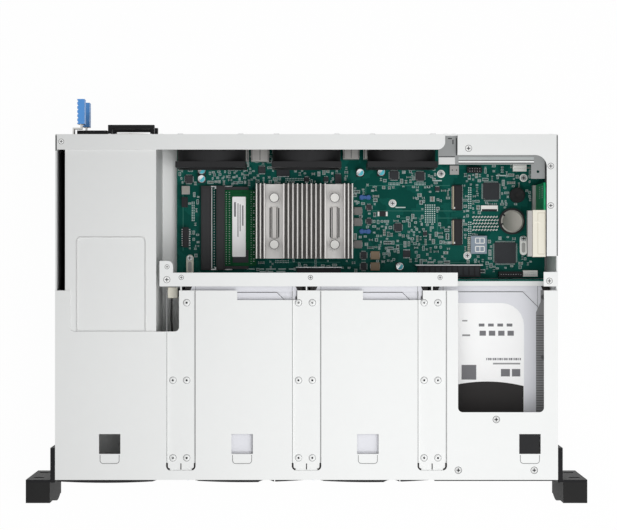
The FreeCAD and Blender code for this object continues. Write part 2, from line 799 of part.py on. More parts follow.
def ears():
    """Both ear angles with their rack slots, and both hollow caps."""
    angles = []
    caps = []
    for side in (-1, 1):
        low = "ear_margin"
        high = "chassis_h - ear_margin"
        plate = block(*beside(side, HALF_W, f"{HALF_W} + ear_side_t"), "0 - ear_plate_t", "ear_plate_d",
                      low, high)
        flange = block(*beside(side, HALF_W, "rack_w / 2"), "0 - ear_plate_t", "0", low, high)
        slots = []
        holes = []
        for level in (-1, 1):
            x = f"{side} * slot_pitch_x / 2"
            z = f"chassis_h / 2 + {level} * slot_pitch_z / 2"
            half = "(slot_len - slot_w) / 2"
            y = "0 - 2 * ear_plate_t"
            slots.append(block(f"{x} - {half}", f"{x} + {half}", y, "ear_plate_t",
                               f"{z} - slot_w / 2", f"{z} + slot_w / 2"))
            slots.append(rod("y", f"{x} - {half}", y, z, "slot_w / 2", "3 * ear_plate_t"))
            slots.append(rod("y", f"{x} + {half}", y, z, "slot_w / 2", "3 * ear_plate_t"))
            holes.append(rod("y", x, "0 - cap_depth - 2 * cap_bulge", z, "driver_hole_r", "cap_depth"))
        angles.append(cut(join(plate, flange), *slots))
        left, right = beside(side, "rack_w / 2 - cap_w", "rack_w / 2")
        hollow = block(f"{left} + cap_wall", f"{right} - cap_wall", "cap_wall - cap_depth", "0",
                       f"{low} + cap_wall", f"{high} - cap_wall")
        caps.append(cut(ear_cap(left), hollow, *holes))
    node("ear_angles", *angles)
    node("ear_caps", *caps)


def ear_cap(left):
    """Outer form of a cap, with its front bowed out over the lower half."""
    body = doc.addObject("PartDesign::Body", "ear_cap")
    half_chord = "((cap_bulge_high - cap_bulge_low) / 2)"
    radius = f"(({half_chord} ^ 2 + cap_bulge ^ 2) / (2 * cap_bulge))"
    profile = outline(body, "YZ_Plane", [
        ("0 - ear_plate_t", "ear_margin"),
        ("0 - cap_depth", "ear_margin"),
        ("0 - cap_depth", "cap_bulge_low", f"0 - {radius}"),
        ("0 - cap_depth", "cap_bulge_high"),
        ("0 - cap_depth", "chassis_h - ear_margin"),
        ("0 - ear_plate_t", "chassis_h - ear_margin"),
    ])
    pad(body, profile, "cap_w")
    place(body, left, 0, 0)
    return body


def rail_studs():
    """Headed studs on both side walls that hang the chassis on its rails."""
    studs = []
    for side in (-1, 1):
        for y in ("stud_front_y", "stud_rear_y"):
            shank = beside(side, HALF_W, f"{HALF_W} + stud_shank_len")
            head = beside(side, f"{HALF_W} + stud_shank_len", f"{HALF_W} + stud_shank_len + stud_head_t")
            studs.append(join(rod("x", shank[0], y, "stud_z", "stud_shank_r", "stud_shank_len"),
                              rod("x", head[0], y, "stud_z", "stud_head_r", "stud_head_t")))
    node("rail_studs", *studs)


def cover_screws():
    """Flat screw heads of the control panel, flush in the cover."""
    heads = []
    for x, y in PANEL_SCREWS:
        heads.append(rod("z", x, y, LID, "screw_head_r", "sheet_t"))
    node("cover_screws", *heads)


rear_panel()
rear_ports()
front_cover()
rails_and_bars()
bay_cage()
ears()
rail_studs()
cover_screws()

# Drive bays: tray with hinge pin, hard drive, swing lever and release button
def bay_levels(row):
    """Floor of a row of bays, and the low and high edge of its bezels."""
    floor = "sheet_t" if row == 0 else f"({SHELF_LOW} + shelf_t)"
    return floor, f"({floor} + bezel_lift)", f"({floor} + bezel_lift + bezel_h)"


def bowed(middle, left, right, low, high):
    """Slab of the front line with its front bowed out about the middle of a column."""
    slab = block(left, right, "0 - 2 * arc_sag", "lever_back", low, high)
    bow = rod("z", middle, "arc_r - arc_sag", low, "arc_r", f"{high} - {low}")
    return overlap(slab, bow)


def drive_tray(bay, column, row):
    """Side rails, cross bars, vented front plate, light strip, hinge lugs and pin."""
    middle = f"({column} * col_pitch)"
    floor, low, high = bay_levels(row)
    half = "tray_w / 2"
    plate_back = "bezel_plate_y + bezel_plate_t"
    rail_low = f"{floor} + run_gap"
    pieces = []
    for left in (f"{middle} - {half}", f"{middle} + {half} - rail_t"):
        pieces.append(block(left, f"{left} + rail_t", plate_back, "drive_front + drive_l - drive_plug_d",
                            rail_low, f"{rail_low} + rail_h"))
    for start in ("drive_front + tray_bar_inset", "drive_front + drive_l - tray_bar_inset - tray_bar_w"):
        pieces.append(block(f"{middle} - {half} + rail_t", f"{middle} + {half} - rail_t", start,
                            f"{start} + tray_bar_w", f"{floor} + drive_lift - tray_bar_t",
                            f"{floor} + drive_lift"))
    plate = block(f"{middle} - {half}", f"{middle} + {half}", "bezel_plate_y", plate_back, low, high)
    pin_x = f"({middle} - lever_left + knuckle_r)"
    level = f"(({low} + {high}) / 2)"
    windows = []
    for line in (-1, 0, 1):
        z = f"({level} + {line} * (bezel_slot_h + bezel_slot_gap))"
        windows.append(block(f"{pin_x} + 2 * knuckle_r", f"{middle} + lever_right - knuckle_r",
                             "led_strip_y", f"2 * ({plate_back})",
                             f"{z} - bezel_slot_h / 2", f"{z} + bezel_slot_h / 2"))
    stem = f"({middle} + (lever_right + part_gap + button_right) / 2)"
    windows.append(block(f"{stem} - stem_w / 2 - run_gap", f"{stem} + stem_w / 2 + run_gap",
                         "led_strip_y", f"2 * ({plate_back})",
                         f"{level} - stem_h / 2 - run_gap", f"{level} + stem_h / 2 + run_gap"))
    pieces.append(cut(plate, *windows))
    pieces.append(block(f"{middle} - {half}", f"{middle} - lever_left - part_gap",
                        "led_strip_y", "bezel_plate_y", low, high))
    for start in (low, f"{high} - lug_t"):
        pieces.append(rod("z", pin_x, "pin_y", start, "knuckle_r", "lug_t"))
        pieces.append(block(f"{pin_x} - knuckle_r", f"{pin_x} + knuckle_r", "pin_y", "bezel_plate_y",
                            start, f"{start} + lug_t"))
    pieces.append(rod("z", pin_x, "pin_y", low, "pin_r", "bezel_h"))
    node(f"{bay}_tray", join(*pieces))


def tray_lever(bay, column, row):
    """Bowed lever that swings out on the tray's pin, with a finger scoop at its free end."""
    middle = f"({column} * col_pitch)"
    _, low, high = bay_levels(row)
    pin_x = f"({middle} - lever_left + knuckle_r)"
    face = bowed(middle, pin_x, f"{middle} + lever_right", low, high)
    free = "(lug_t + run_gap)"
    knuckle = rod("z", pin_x, "pin_y", f"{low} + {free}", "knuckle_r", f"bezel_h - 2 * {free}")
    bore = rod("z", pin_x, "pin_y", low, "pin_r + pin_gap", "bezel_h")
    clear = "knuckle_r + 2 * run_gap"
    low_notch = rod("z", pin_x, "pin_y", low, clear, free)
    high_notch = rod("z", pin_x, "pin_y", f"{high} - {free}", clear, free)
    scoop = rod("z", f"{middle} + lever_right - grip_scoop_r / 2", "grip_scoop_d - grip_scoop_r - arc_sag",
                low, "grip_scoop_r", "bezel_h")
    node(f"{bay}_lever", cut(join(face, knuckle), bore, low_notch, high_notch, scoop))


def release_button(bay, column, row):
    """Push button beside the lever, guided by a stem through the tray's front plate."""
    middle = f"({column} * col_pitch)"
    _, low, high = bay_levels(row)
    left = f"{middle} + lever_right + part_gap"
    face = bowed(middle, left, f"{middle} + button_right", low, high)
    stem_x = f"({middle} + (lever_right + part_gap + button_right) / 2)"
    level = f"(({low} + {high}) / 2)"
    stem = block(f"{stem_x} - stem_w / 2", f"{stem_x} + stem_w / 2", "lever_back",
                 "bezel_plate_y + bezel_plate_t + stem_tail",
                 f"{level} - stem_h / 2", f"{level} + stem_h / 2")
    node(f"{bay}_button", join(face, stem))


def hard_drive(bay, column, row):
    """Casting and raised lid, both with cropped rear corners, and a connector recess."""
    middle = f"({column} * col_pitch)"
    floor, _, _ = bay_levels(row)
    base = f"({floor} + drive_lift)"
    casting = doc.addObject("PartDesign::Body", "casting")
    profile = outline(casting, "XY_Plane", [
        ("0 - drive_w / 2", "0"),
        ("drive_w / 2", "0"),
        ("drive_w / 2", "drive_l - drive_chamfer"),
        ("drive_w / 2 - drive_chamfer", "drive_l"),
        ("drive_chamfer - drive_w / 2", "drive_l"),
        ("0 - drive_w / 2", "drive_l - drive_chamfer"),
    ])
    pad(casting, profile, "drive_h - drive_lid_t")
    place(casting, middle, "drive_front", base)
    lid = doc.addObject("PartDesign::Body", "lid")
    side = "(drive_w / 2 - lid_side)"
    rear = "(drive_l - lid_rear)"
    cover = outline(lid, "XY_Plane", [
        (f"0 - {side}", "lid_front"),
        (side, "lid_front"),
        (side, f"{rear} - lid_crop"),
        (f"{side} - lid_crop", rear),
        (f"lid_crop - {side}", rear),
        (f"0 - {side}", f"{rear} - lid_crop"),
    ])
    pad(lid, cover, "2 * drive_lid_t")
    place(lid, middle, "drive_front", f"{base} + drive_h - 2 * drive_lid_t")
    recess = block(f"{middle} - drive_plug_w / 2", f"{middle} + drive_plug_w / 2",
                   "drive_front + drive_l - drive_plug_d", "drive_front + drive_l + drive_plug_d",
                   f"{base} + drive_plug_h / 2", f"{base} + 3 * drive_plug_h / 2")
    node(f"{bay}_drive", cut(join(casting, lid), recess))


# Backplane behind the drives, lower in the fourth column, with one socket per drive
def backplane():
    """Board with air openings, and the sockets that reach into the drives."""
    board = doc.addObject("PartDesign::Body", "backplane_board")
    profile = outline(board, "XZ_Plane", [
        (f"0 - {PLANE_HALF}", "plane_low"),
        (f"{WALL_IN} - run_gap", "plane_low"),
        (f"{WALL_IN} - run_gap", "low_bar_z"),
        (PLANE_HALF, "low_bar_z"),
        (PLANE_HALF, "plane_high"),
        (f"0 - {PLANE_HALF}", "plane_high"),
    ])
    pad(board, profile, "pcb_t", reverse=True)
    place(board, 0, "plane_y", 0)
    windows = []
    sockets = []
    for column, row in BAYS.values():
        middle = f"({column} * col_pitch)"
        floor, _, _ = bay_levels(row)
        base = f"({floor} + drive_lift)"
        windows.append(block(f"{middle} - plane_window_w / 2", f"{middle} + plane_window_w / 2",
                             "plane_y - pcb_t", "plane_y + 2 * pcb_t",
                             f"{base} + 2 * drive_plug_h", f"{base} + 4 * drive_plug_h"))
        half = "(drive_plug_w / 2 - run_gap)"
        sockets.append(block(f"{middle} - {half}", f"{middle} + {half}",
                             "plane_y - plane_socket_d", "plane_y",
                             f"{base} + drive_plug_h / 2 + run_gap",
                             f"{base} + 3 * drive_plug_h / 2 - run_gap"))
    node("backplane", cut(board, *windows), *sockets)


# Power supplies: cage, distribution board and two sliding modules
CAGE_IN = "(cage_t - cage_left)"
CAGE_OUT = "(cage_w - cage_t - cage_left)"
PSU_LEFT = "((cage_w - psu_w) / 2 - cage_left)"
PSU_FAN_X = f"({PSU_LEFT} + psu_w - psu_fan_side)"
LATCH_X = f"({PSU_LEFT} + latch_side)"


def supply_cage():
    """Sheet box round both modules, with a debossed panel in its top."""
    plate_low = f"{LID} - sheet_t"
    plate = block("0 - cage_left", "cage_w - cage_left", "cage_front", f"{REAR_IN} - run_gap",
                  plate_low, LID)
    sides = []
    for left in ("0 - cage_left", CAGE_OUT):
        sides.append(block(left, f"{left} + cage_t", "cage_front", f"{REAR_IN} - run_gap",
                           "sheet_t", plate_low))
    shelf = block(CAGE_IN, CAGE_OUT, "chassis_d - psu_l", f"{REAR_IN} - run_gap",
                  SHELF_LOW, f"{SHELF_LOW} + shelf_t")
    press = block("deboss_margin - cage_left + cage_t", "cage_w - cage_left - deboss_margin",
                  "cage_front + deboss_margin", "deboss_rear", f"{LID} - deboss_d", "chassis_h")
    node("supply_cage", cut(join(plate, shelf, *sides), rounded(press, "cover_corner_r", UP)))


def supply_low(row):
    """Underside of a module in the lower or upper place of the cage."""
    return "(sheet_t + run_gap)" if row == 0 else f"({SHELF_LOW} + shelf_t + run_gap)"


def power_board():
    """Board across the cage, with a socket facing each module."""
    pieces = [block(CAGE_IN, CAGE_OUT, "power_board_y", "power_board_y + pcb_t",
                    "2 * sheet_t", f"{LID} - 2 * sheet_t")]
    for row in (0, 1):
        x = f"({PSU_LEFT} + psu_w / 2)"
        z = f"({supply_low(row)} + psu_h / 2)"
        pieces.append(block(f"{x} - power_socket_w / 2", f"{x} + power_socket_w / 2",
                            "power_board_y + pcb_t", "power_board_y + pcb_t + power_socket_d",
                            f"{z} - power_socket_h / 2", f"{z} + power_socket_h / 2"))
    node("power_board", *pieces)


def supply_case(name, row):
    """Module box with its fan bore, motor, inlet pocket and latch well."""
    low = supply_low(row)
    fan_z = f"({low} + psu_h / 2)"
    bore_y = "chassis_d - psu_bore_d"
    box = block(PSU_LEFT, f"{PSU_LEFT} + psu_w", "chassis_d - psu_l", "chassis_d", low, f"{low} + psu_h")
    bore = rod("y", PSU_FAN_X, bore_y, fan_z, "psu_bore_r", "2 * psu_bore_d")
    seat = inlet_body(low)
    well = block(f"{LATCH_X} - latch_well_w / 2", f"{LATCH_X} + latch_well_w / 2",
                 "chassis_d - latch_well_d", "chassis_d + latch_well_d",
                 f"{low} + latch_low - run_gap", f"{low} + latch_low + latch_h + run_gap")
    motor = rod("y", PSU_FAN_X, bore_y, fan_z, "psu_hub_r", "fan_motor_t")
    shaft = rod("y", PSU_FAN_X, bore_y, fan_z, "fan_shaft_r", "fan_motor_t + psu_hub_len")
    latch_pin = rod("z", LATCH_X, "chassis_d - latch_pin_in", f"{low} + latch_low - 2 * run_gap",
                    "latch_pin_r", "latch_h + 4 * run_gap")
    node(f"{name}_case", join(cut(box, bore, seat, well), motor, shaft, latch_pin))


def inlet_body(low):
    """Barrel of the mains inlet, inside the module."""
    left = f"({PSU_LEFT} + inlet_side + inlet_wall / 2)"
    base = f"({low} + inlet_low + inlet_wall / 2)"
    return block(left, f"{left} + inlet_w - inlet_wall", "chassis_d - inlet_body_d", "chassis_d",
                 base, f"{base} + inlet_h - inlet_wall")


def inlet_mouth(low):
    """Six-sided hollow of the mains inlet, with two cropped corners."""
    mouth = doc.addObject("PartDesign::Body", "mouth")
    wide = "(inlet_w - 2 * inlet_wall)"
    tall = "(inlet_h - 2 * inlet_wall)"
    crop = "inlet_crop"
    profile = outline(mouth, "XZ_Plane", [
        ("0", "0"),
        (wide, "0"),
        (wide, f"{tall} - {crop}"),
        (f"{wide} - {crop}", tall),
        (crop, tall),
        ("0", f"{tall} - {crop}"),
    ])
    pad(mouth, profile, "2 * inlet_depth", reverse=True)
    place(mouth, f"{PSU_LEFT} + inlet_side + inlet_wall", "chassis_d + inlet_flange_t - inlet_depth",
          f"{low} + inlet_low + inlet_wall")
    return mouth


def supply_fittings(name, row):
    """Mains inlet with its contacts, pull handle and wire fan guard."""
    low = supply_low(row)
    fan_z = f"({low} + psu_h / 2)"
    left = f"({PSU_LEFT} + inlet_side)"
    flange = block(left, f"{left} + inlet_w", "chassis_d", "chassis_d + inlet_flange_t",
                   f"{low} + inlet_low", f"{low} + inlet_low + inlet_h")
    floor_y = "chassis_d + inlet_flange_t - inlet_depth"
    contacts = []
    for place_x, place_z in ((-1, -1), (0, 1), (1, -1)):
        x = f"({left} + inlet_w / 2 + {place_x} * inlet_pin_pitch)"
        z = f"({low} + inlet_low + inlet_h / 2 + {place_z} * inlet_pin_w / 2)"
        contacts.append(block(f"{x} - inlet_pin_t / 2", f"{x} + inlet_pin_t / 2", floor_y,
                              f"{floor_y} + inlet_pin_len",
                              f"{z} - inlet_pin_w / 2", f"{z} + inlet_pin_w / 2"))
    inlet = join(cut(join(flange, inlet_body(low)), inlet_mouth(low)), *contacts)
    side = f"({PSU_FAN_X} - handle_w / 2)"
    reach = "chassis_d + handle_reach"
    bar_low = f"{fan_z} - handle_h / 2"
    bar_high = f"{fan_z} + handle_h / 2"
    handle = join(block(side, f"{side} + handle_w", f"{reach} - handle_t", reach, bar_low, bar_high),
                  block(side, f"{side} + handle_t", "chassis_d", reach, bar_low, bar_high),
                  block(f"{side} + handle_w - handle_t", f"{side} + handle_w", "chassis_d", reach,
                        bar_low, bar_high))
    rings = []
    for radius in ("guard_ring_r", "guard_inner_r"):
        outer = rod("y", PSU_FAN_X, "chassis_d", fan_z, f"{radius} + guard_wire", "guard_wire")
        rings.append(cut(outer, rod("y", PSU_FAN_X, "chassis_d", fan_z, radius, "guard_wire")))
    upright = block(f"{PSU_FAN_X} - guard_wire / 2", f"{PSU_FAN_X} + guard_wire / 2", "chassis_d",
                    "chassis_d + guard_wire", f"{low} + run_gap", f"{low} + psu_h - run_gap")
    node(f"{name}_fittings", inlet, handle, join(upright, *rings))


def supply_latch(name, row):
    """Stepped release lever on its pin, with a ribbed moulded grip."""
    low = supply_low(row)
    base = f"{low} + latch_low"
    top = f"{low} + latch_low + latch_h"
    eye_y = "chassis_d - latch_pin_in"
    half = "latch_t / 2"
    step_y = "chassis_d + latch_step_y"
    out_x = f"({LATCH_X} + latch_step_x)"
    tip_y = "chassis_d + latch_reach - 2 * latch_t"
    eye = rod("z", LATCH_X, eye_y, base, "latch_eye_r", "latch_h")
    root = block(f"{LATCH_X} - {half}", f"{LATCH_X} + {half}", eye_y, step_y, base, top)
    step = block(f"{LATCH_X} - {half}", f"{out_x} + {half}", f"{step_y} - latch_t", step_y, base, top)
    blade = block(f"{out_x} - {half}", f"{out_x} + {half}", f"{step_y} - latch_t", tip_y, base, top)
    bore = rod("z", LATCH_X, eye_y, base, "latch_pin_r + pin_gap", "latch_h")
    lever = cut(join(eye, root, step, blade), bore)
    grip_y = "(chassis_d + latch_reach - grip_len)"
    grip = block(f"{out_x} - grip_w / 2", f"{out_x} + grip_w / 2", grip_y, f"{grip_y} + grip_len",
                 f"{base} - grip_over", f"{top} + grip_over")
    hollow = [block(f"{out_x} - {half}", f"{out_x} + {half}", step_y, tip_y, base, top)]
    for rib in range(GRIP_RIBS):
        y = f"({grip_y} + {rib + 0.5} * grip_len / {GRIP_RIBS})"
        hollow.append(block(f"{out_x} - grip_w", f"{out_x} - grip_w / 2 + grip_rib",
                            f"{y} - grip_rib", f"{y} + grip_rib", f"{base} - 2 * grip_over",
                            f"{top} + 2 * grip_over"))
    node(f"{name}_latch", lever, cut(grip, *hollow))


# Fans: frames behind the rear panel, and bladed rotors on their shafts
def fan_frame(x):
    """Square frame with a round waist, screw holes, struts, motor base and shaft."""
    half = "fan_w / 2"
    front = f"({REAR_IN} - fan_l)"
    shell = block(f"{x} - {half}", f"{x} + {half}", front, REAR_IN, f"fan_z - {half}", f"fan_z + {half}")
    waist = block(f"{x} - fan_w", f"{x} + fan_w", f"{front} + fan_flange_t", f"{REAR_IN} - fan_flange_t",
                  "fan_z - fan_w", "fan_z + fan_w")
    barrel = rod("y", x, front, "fan_z", f"{half} - run_gap", "fan_l")
    tools = [cut(waist, barrel), rod("y", x, f"{front} - fan_flange_t", "fan_z", "fan_bore_r",
                                     "fan_l + 2 * fan_flange_t")]
    for side in (-1, 1):
        for level in (-1, 1):
            tools.append(rod("y", f"{x} + {side} * ({half} - fan_pocket)", f"{front} - fan_flange_t",
                             f"fan_z + {level} * ({half} - fan_pocket)", "fan_shaft_r",
                             "fan_l + 2 * fan_flange_t"))
    motor_y = f"({REAR_IN} - fan_motor_t)"
    strut = "fan_strut_w / 2"
    level_strut = block(f"{x} - {half} + run_gap", f"{x} + {half} - run_gap", motor_y, REAR_IN,
                        f"fan_z - {strut}", f"fan_z + {strut}")
    upright_strut = block(f"{x} - {strut}", f"{x} + {strut}", motor_y, REAR_IN,
                          f"fan_z - {half} + run_gap", f"fan_z + {half} - run_gap")
    motor = rod("y", x, motor_y, "fan_z", "fan_hub_r", "fan_motor_t")
    shaft = rod("y", x, f"{motor_y} - fan_hub_len", "fan_z", "fan_shaft_r", "fan_hub_len")
    return join(cut(shell, *tools), level_strut, upright_strut, motor, shaft)


def rotor(label, x, y, z, hub_r, hub_len, chord, tip_r):
    """Hub with a shaft bore and a ring of twisted blades trimmed to the tip circle."""
    body = doc.addObject("PartDesign::Body", "rotor")
    circles = body.newObject("Sketcher::SketchObject", "hub")
    circles.AttachmentSupport = [(origin_feature(body, "XZ_Plane"), "")]
    circles.MapMode = "FlatFace"
    for index, radius in enumerate((hub_r, "fan_shaft_r + spin_gap")):
        circles.addGeometry(Part.Circle(FreeCAD.Vector(), UP, value(radius)))
        circles.addConstraint(Sketcher.Constraint("Coincident", index, 3, -1, 1))
        number = circles.addConstraint(Sketcher.Constraint("Radius", index, value(radius)))
        circles.setExpression(f"Constraints[{number}]", formula(radius))
    pad(body, circles, hub_len, reverse=True)
    sections = []
    for radius, pitch in ((f"{BLADE_ROOT} * {hub_r}", "pitch_root"), (f"{BLADE_TIP} * {tip_r}", "pitch_tip")):
        section = outline(body, "YZ_Plane", [
            (f"0 - {chord} / 2", "0 - blade_t / 2"),
            (f"{chord} / 2", "0 - blade_t / 2"),
            (f"{chord} / 2", "blade_t / 2"),
            (f"0 - {chord} / 2", "blade_t / 2"),
        ])
        turn = FreeCAD.Rotation(UP, value(pitch))
        section.AttachmentOffset = FreeCAD.Placement(FreeCAD.Vector(), turn)
        bind(section, "AttachmentOffset.Base.x", f"{hub_len} / 2")
        bind(section, "AttachmentOffset.Base.z", radius)
        sections.append(section)
    blade = body.newObject("PartDesign::AdditiveLoft", "blade")
    blade.Profile = sections[0]
    blade.Sections = [sections[1]]
    doc.recompute()
    ring = body.newObject("PartDesign::PolarPattern", "ring")
    ring.Originals = [blade]
    ring.Axis = (origin_feature(body, "Y_Axis"), [""])
    ring.Angle = 360
    bind(ring, "Occurrences", "blade_count")
    body.Tip = ring
    place(body, x, y, z)
    trim = rod("y", x, y, z, tip_r, hub_len)
    node(label, overlap(body, trim))


for bay, (column, row) in BAYS.items():
    drive_tray(bay, column, row)
    tray_lever(bay, column, row)
    release_button(bay, column, row)
    hard_drive(bay, column, row)
backplane()
supply_cage()
power_board()
for name, row in SUPPLIES.items():
    supply_case(name, row)
    supply_fittings(name, row)
    supply_latch(name, row)
    rotor(f"{name}_fan", PSU_FAN_X, "chassis_d - psu_bore_d + fan_motor_t + run_gap",
          f"{supply_low(row)} + psu_h / 2", "psu_hub_r", "psu_hub_len", "psu_blade_chord", "psu_tip_r")
node("fan_frames", *[fan_frame(f"({spot} * fan_pitch)") for spot in FANS.values()])
for name, spot in FANS.items():
    rotor(f"{name}_fan_rotor", f"({spot} * fan_pitch)", f"{REAR_IN} - fan_motor_t - run_gap - fan_hub_len",
          "fan_z", "fan_hub_r", "fan_hub_len", "fan_blade_chord", "fan_tip_r")

# Mainboard and what stands on it
def on_board(name):
    """Block of the board layout, standing on the mainboard."""
    x = f"({name}_u - board_left)"
    y = f"(board_front + {name}_v)"
    return block(f"{x} - {name}_w / 2", f"{x} + {name}_w / 2", f"{y} - {name}_d / 2", f"{y} + {name}_d / 2",
                 BOARD_TOP, f"{BOARD_TOP} + {name}_tall")


def post_on_board(name):
    """Round part of the board layout; its width is its diameter."""
    return rod("z", f"{name}_u - board_left", f"board_front + {name}_v", BOARD_TOP, f"{name}_w / 2",
               f"{name}_tall")


def mainboard():
    """Board on its stand-offs."""
    under = "sheet_t + board_lift"
    node("mainboard", block("0 - board_left", "board_w - board_left", "board_front", "board_front + board_d",
                            under, BOARD_TOP))
    posts = []
    for u in ("standoff_edge", "board_w / 2", "board_w - standoff_edge"):
        for v in ("standoff_edge", "board_d - standoff_edge"):
            posts.append(rod("z", f"{u} - board_left", f"board_front + {v}", "sheet_t",
                             "standoff_r", "board_lift"))
    node("board_standoffs", *posts)


def heatsink():
    """Finned block with two bare lanes for its push pins."""
    left = "(sink_left - board_left)"
    front = "(board_front + sink_front)"
    base = f"({BOARD_TOP} + sink_lift)"
    top = f"({base} + sink_base_t)"
    pieces = [block(left, f"{left} + sink_w", front, f"{front} + sink_d", base, top)]
    starts = []
    for fin in range(EDGE_FINS):
        step = f"{fin} * (sink_lane_left - sink_fin_t) / {EDGE_FINS - 1}"
        starts.append(f"({left} + {step})")
        starts.append(f"({left} + sink_w - sink_fin_t - {step})")
    lane_end = "(sink_lane_left + sink_lane_w)"
    for fin in range(MIDDLE_FINS):
        span = f"(sink_w - 2 * {lane_end} - sink_fin_t)"
        starts.append(f"({left} + {lane_end} + {fin} * {span} / {MIDDLE_FINS - 1})")
    for start in starts:
        pieces.append(block(start, f"{start} + sink_fin_t", front, f"{front} + sink_d", top,
                            f"{top} + sink_fin_h"))
    node("heatsink", join(*pieces))
    lane = "(sink_lane_left + sink_lane_w / 2)"
    pins = []
    for x in (f"{left} + {lane}", f"{left} + sink_w - {lane}"):
        for y in (f"{front} + push_inset_y", f"{front} + sink_d - push_inset_y"):
            head = f"{top} + push_pin_len - pin_head_t"
            pins.append(join(rod("z", x, y, top, "push_pin_r", "push_pin_len"),
                             rod("z", x, y, head, "pin_head_r", "pin_head_t")))
    node("heatsink_pins", *pins)
    processor = "processor_w / 2"
    middle_x = f"({left} + sink_w / 2)"
    middle_y = f"({front} + sink_d / 2)"
    return block(f"{middle_x} - {processor}", f"{middle_x} + {processor}", f"{middle_y} - {processor}",
                 f"{middle_y} + {processor}", BOARD_TOP, base)


def memory():
    """Memory module lying in the jaws of its socket."""
    left = "(module_socket_u + module_socket_w / 2 - board_left)"
    front = "(board_front + module_socket_v - module_l / 2)"
    base = f"({BOARD_TOP} + module_lift)"
    pieces = [block(left, f"{left} + module_w", front, f"{front} + module_l", base, f"{base} + module_t")]
    for chip in range(MODULE_CHIPS):
        y = f"({front} + {chip + 0.5} * module_l / {MODULE_CHIPS})"
        pieces.append(block(f"{left} + (module_w - module_chip_w) / 2",
                            f"{left} + (module_w + module_chip_w) / 2",
                            f"{y} - module_chip_d / 2", f"{y} + module_chip_d / 2",
                            f"{base} + module_t", f"{base} + 2 * module_t"))
    node("memory_module", join(*pieces))
    jaws = []
    for start in (f"{front} - run_gap - module_jaw", f"{front} + module_l + run_gap"):
        jaws.append(block(left, f"{left} + module_jaw_l", start, f"{start} + module_jaw", BOARD_TOP,
                          f"{base} + 2 * module_t"))
    return join(on_board("module_socket"), *jaws)


def riser():
    """Upright riser board in its socket, with an expansion slot that faces the middle."""
    socket = on_board("riser_socket")
    x = "(riser_socket_u - board_left)"
    middle = "(board_front + riser_socket_v)"
    foot = f"({BOARD_TOP} + riser_socket_tall)"
    card = block(f"{x} - pcb_t / 2", f"{x} + pcb_t / 2", f"{middle} - riser_socket_d / 2",
                 f"{middle} + riser_socket_d / 2", foot, "riser_high")
    left = f"({x} - pcb_t / 2 - slot_body_w)"
    front = f"({middle} - riser_socket_d / 2)"
    level = "(riser_high - slot_body_h / 2)"
    body = block(left, f"{left} + slot_body_w", front, f"{front} + slot_body_l",
                 f"{level} - slot_body_h / 2", f"{level} + slot_body_h / 2")
    groove = block(f"{left} - slot_body_w", f"{left} + slot_body_w / 2", f"{front} + pcb_t",
                   f"{front} + slot_body_l - pcb_t", f"{level} - pcb_t / 2", f"{level} + pcb_t / 2")
    node("riser", socket, card, cut(body, groove))


def battery():
    """Coin cell in the round well of its holder, which a notch opens to a finger."""
    holder = post_on_board("battery_holder")
    x = "battery_holder_u - board_left"
    y = "board_front + battery_holder_v"
    floor = f"{BOARD_TOP} + coin_lift"
    well = rod("z", x, y, floor, "coin_r + pin_gap", "battery_holder_tall")
    notch = block(x, f"{x} + battery_holder_w", f"{y} - coin_notch / 2", f"{y} + coin_notch / 2",
                  floor, f"{floor} + battery_holder_tall")
    node("battery", cut(holder, well, notch), rod("z", x, y, floor, "coin_r", "coin_t"))


# Front left bezel, control panel and power key
def left_bezel():
    """Bowed, vented cover of the first column, open at the back."""
    left = f"(run_gap - {WALL_IN})"
    low = "(sheet_t + run_gap)"
    high = f"({LID} - cover_lip - run_gap)"
    shell = doc.addObject("PartDesign::Body", "bezel")
    profile = outline(shell, "XY_Plane", [
        (left, "bezel_depth"),
        (left, "0 - bezel_edge", "arc_r"),
        ("0 - bezel_right - bezel_chamfer", "0 - bezel_edge"),
        ("0 - bezel_right", "0"),
        ("0 - col_pitch", "0"),
        ("0 - col_pitch", "bezel_depth"),
    ])
    pad(shell, profile, f"{high} - {low}")
    place(shell, 0, 0, low)
    hollow = block(f"{left} + bezel_wall", "0 - bezel_right - bezel_wall", "bezel_wall - bezel_edge",
                   "2 * bezel_depth", f"{low} + bezel_wall", f"{high} - bezel_wall")
    side_hollow = block("0 - bezel_right", "0 - col_pitch - bezel_wall", "bezel_wall", "2 * bezel_depth",
                        f"{low} + bezel_wall", f"{high} - bezel_wall")
    slots = []
    for slot in range(VENT_SLOTS):
        x = f"(({left} - bezel_right) / 2 + {slot - (VENT_SLOTS - 1) / 2} * vent_slot_pitch)"
        slots.append(block(f"{x} - vent_slot_w / 2", f"{x} + vent_slot_w / 2", "0 - 3 * bezel_depth",
                           "bezel_wall", f"{low} + vent_slot_end", f"{high} - vent_slot_end"))
    node("left_bezel", cut(shell, hollow, side_hollow, *slots))


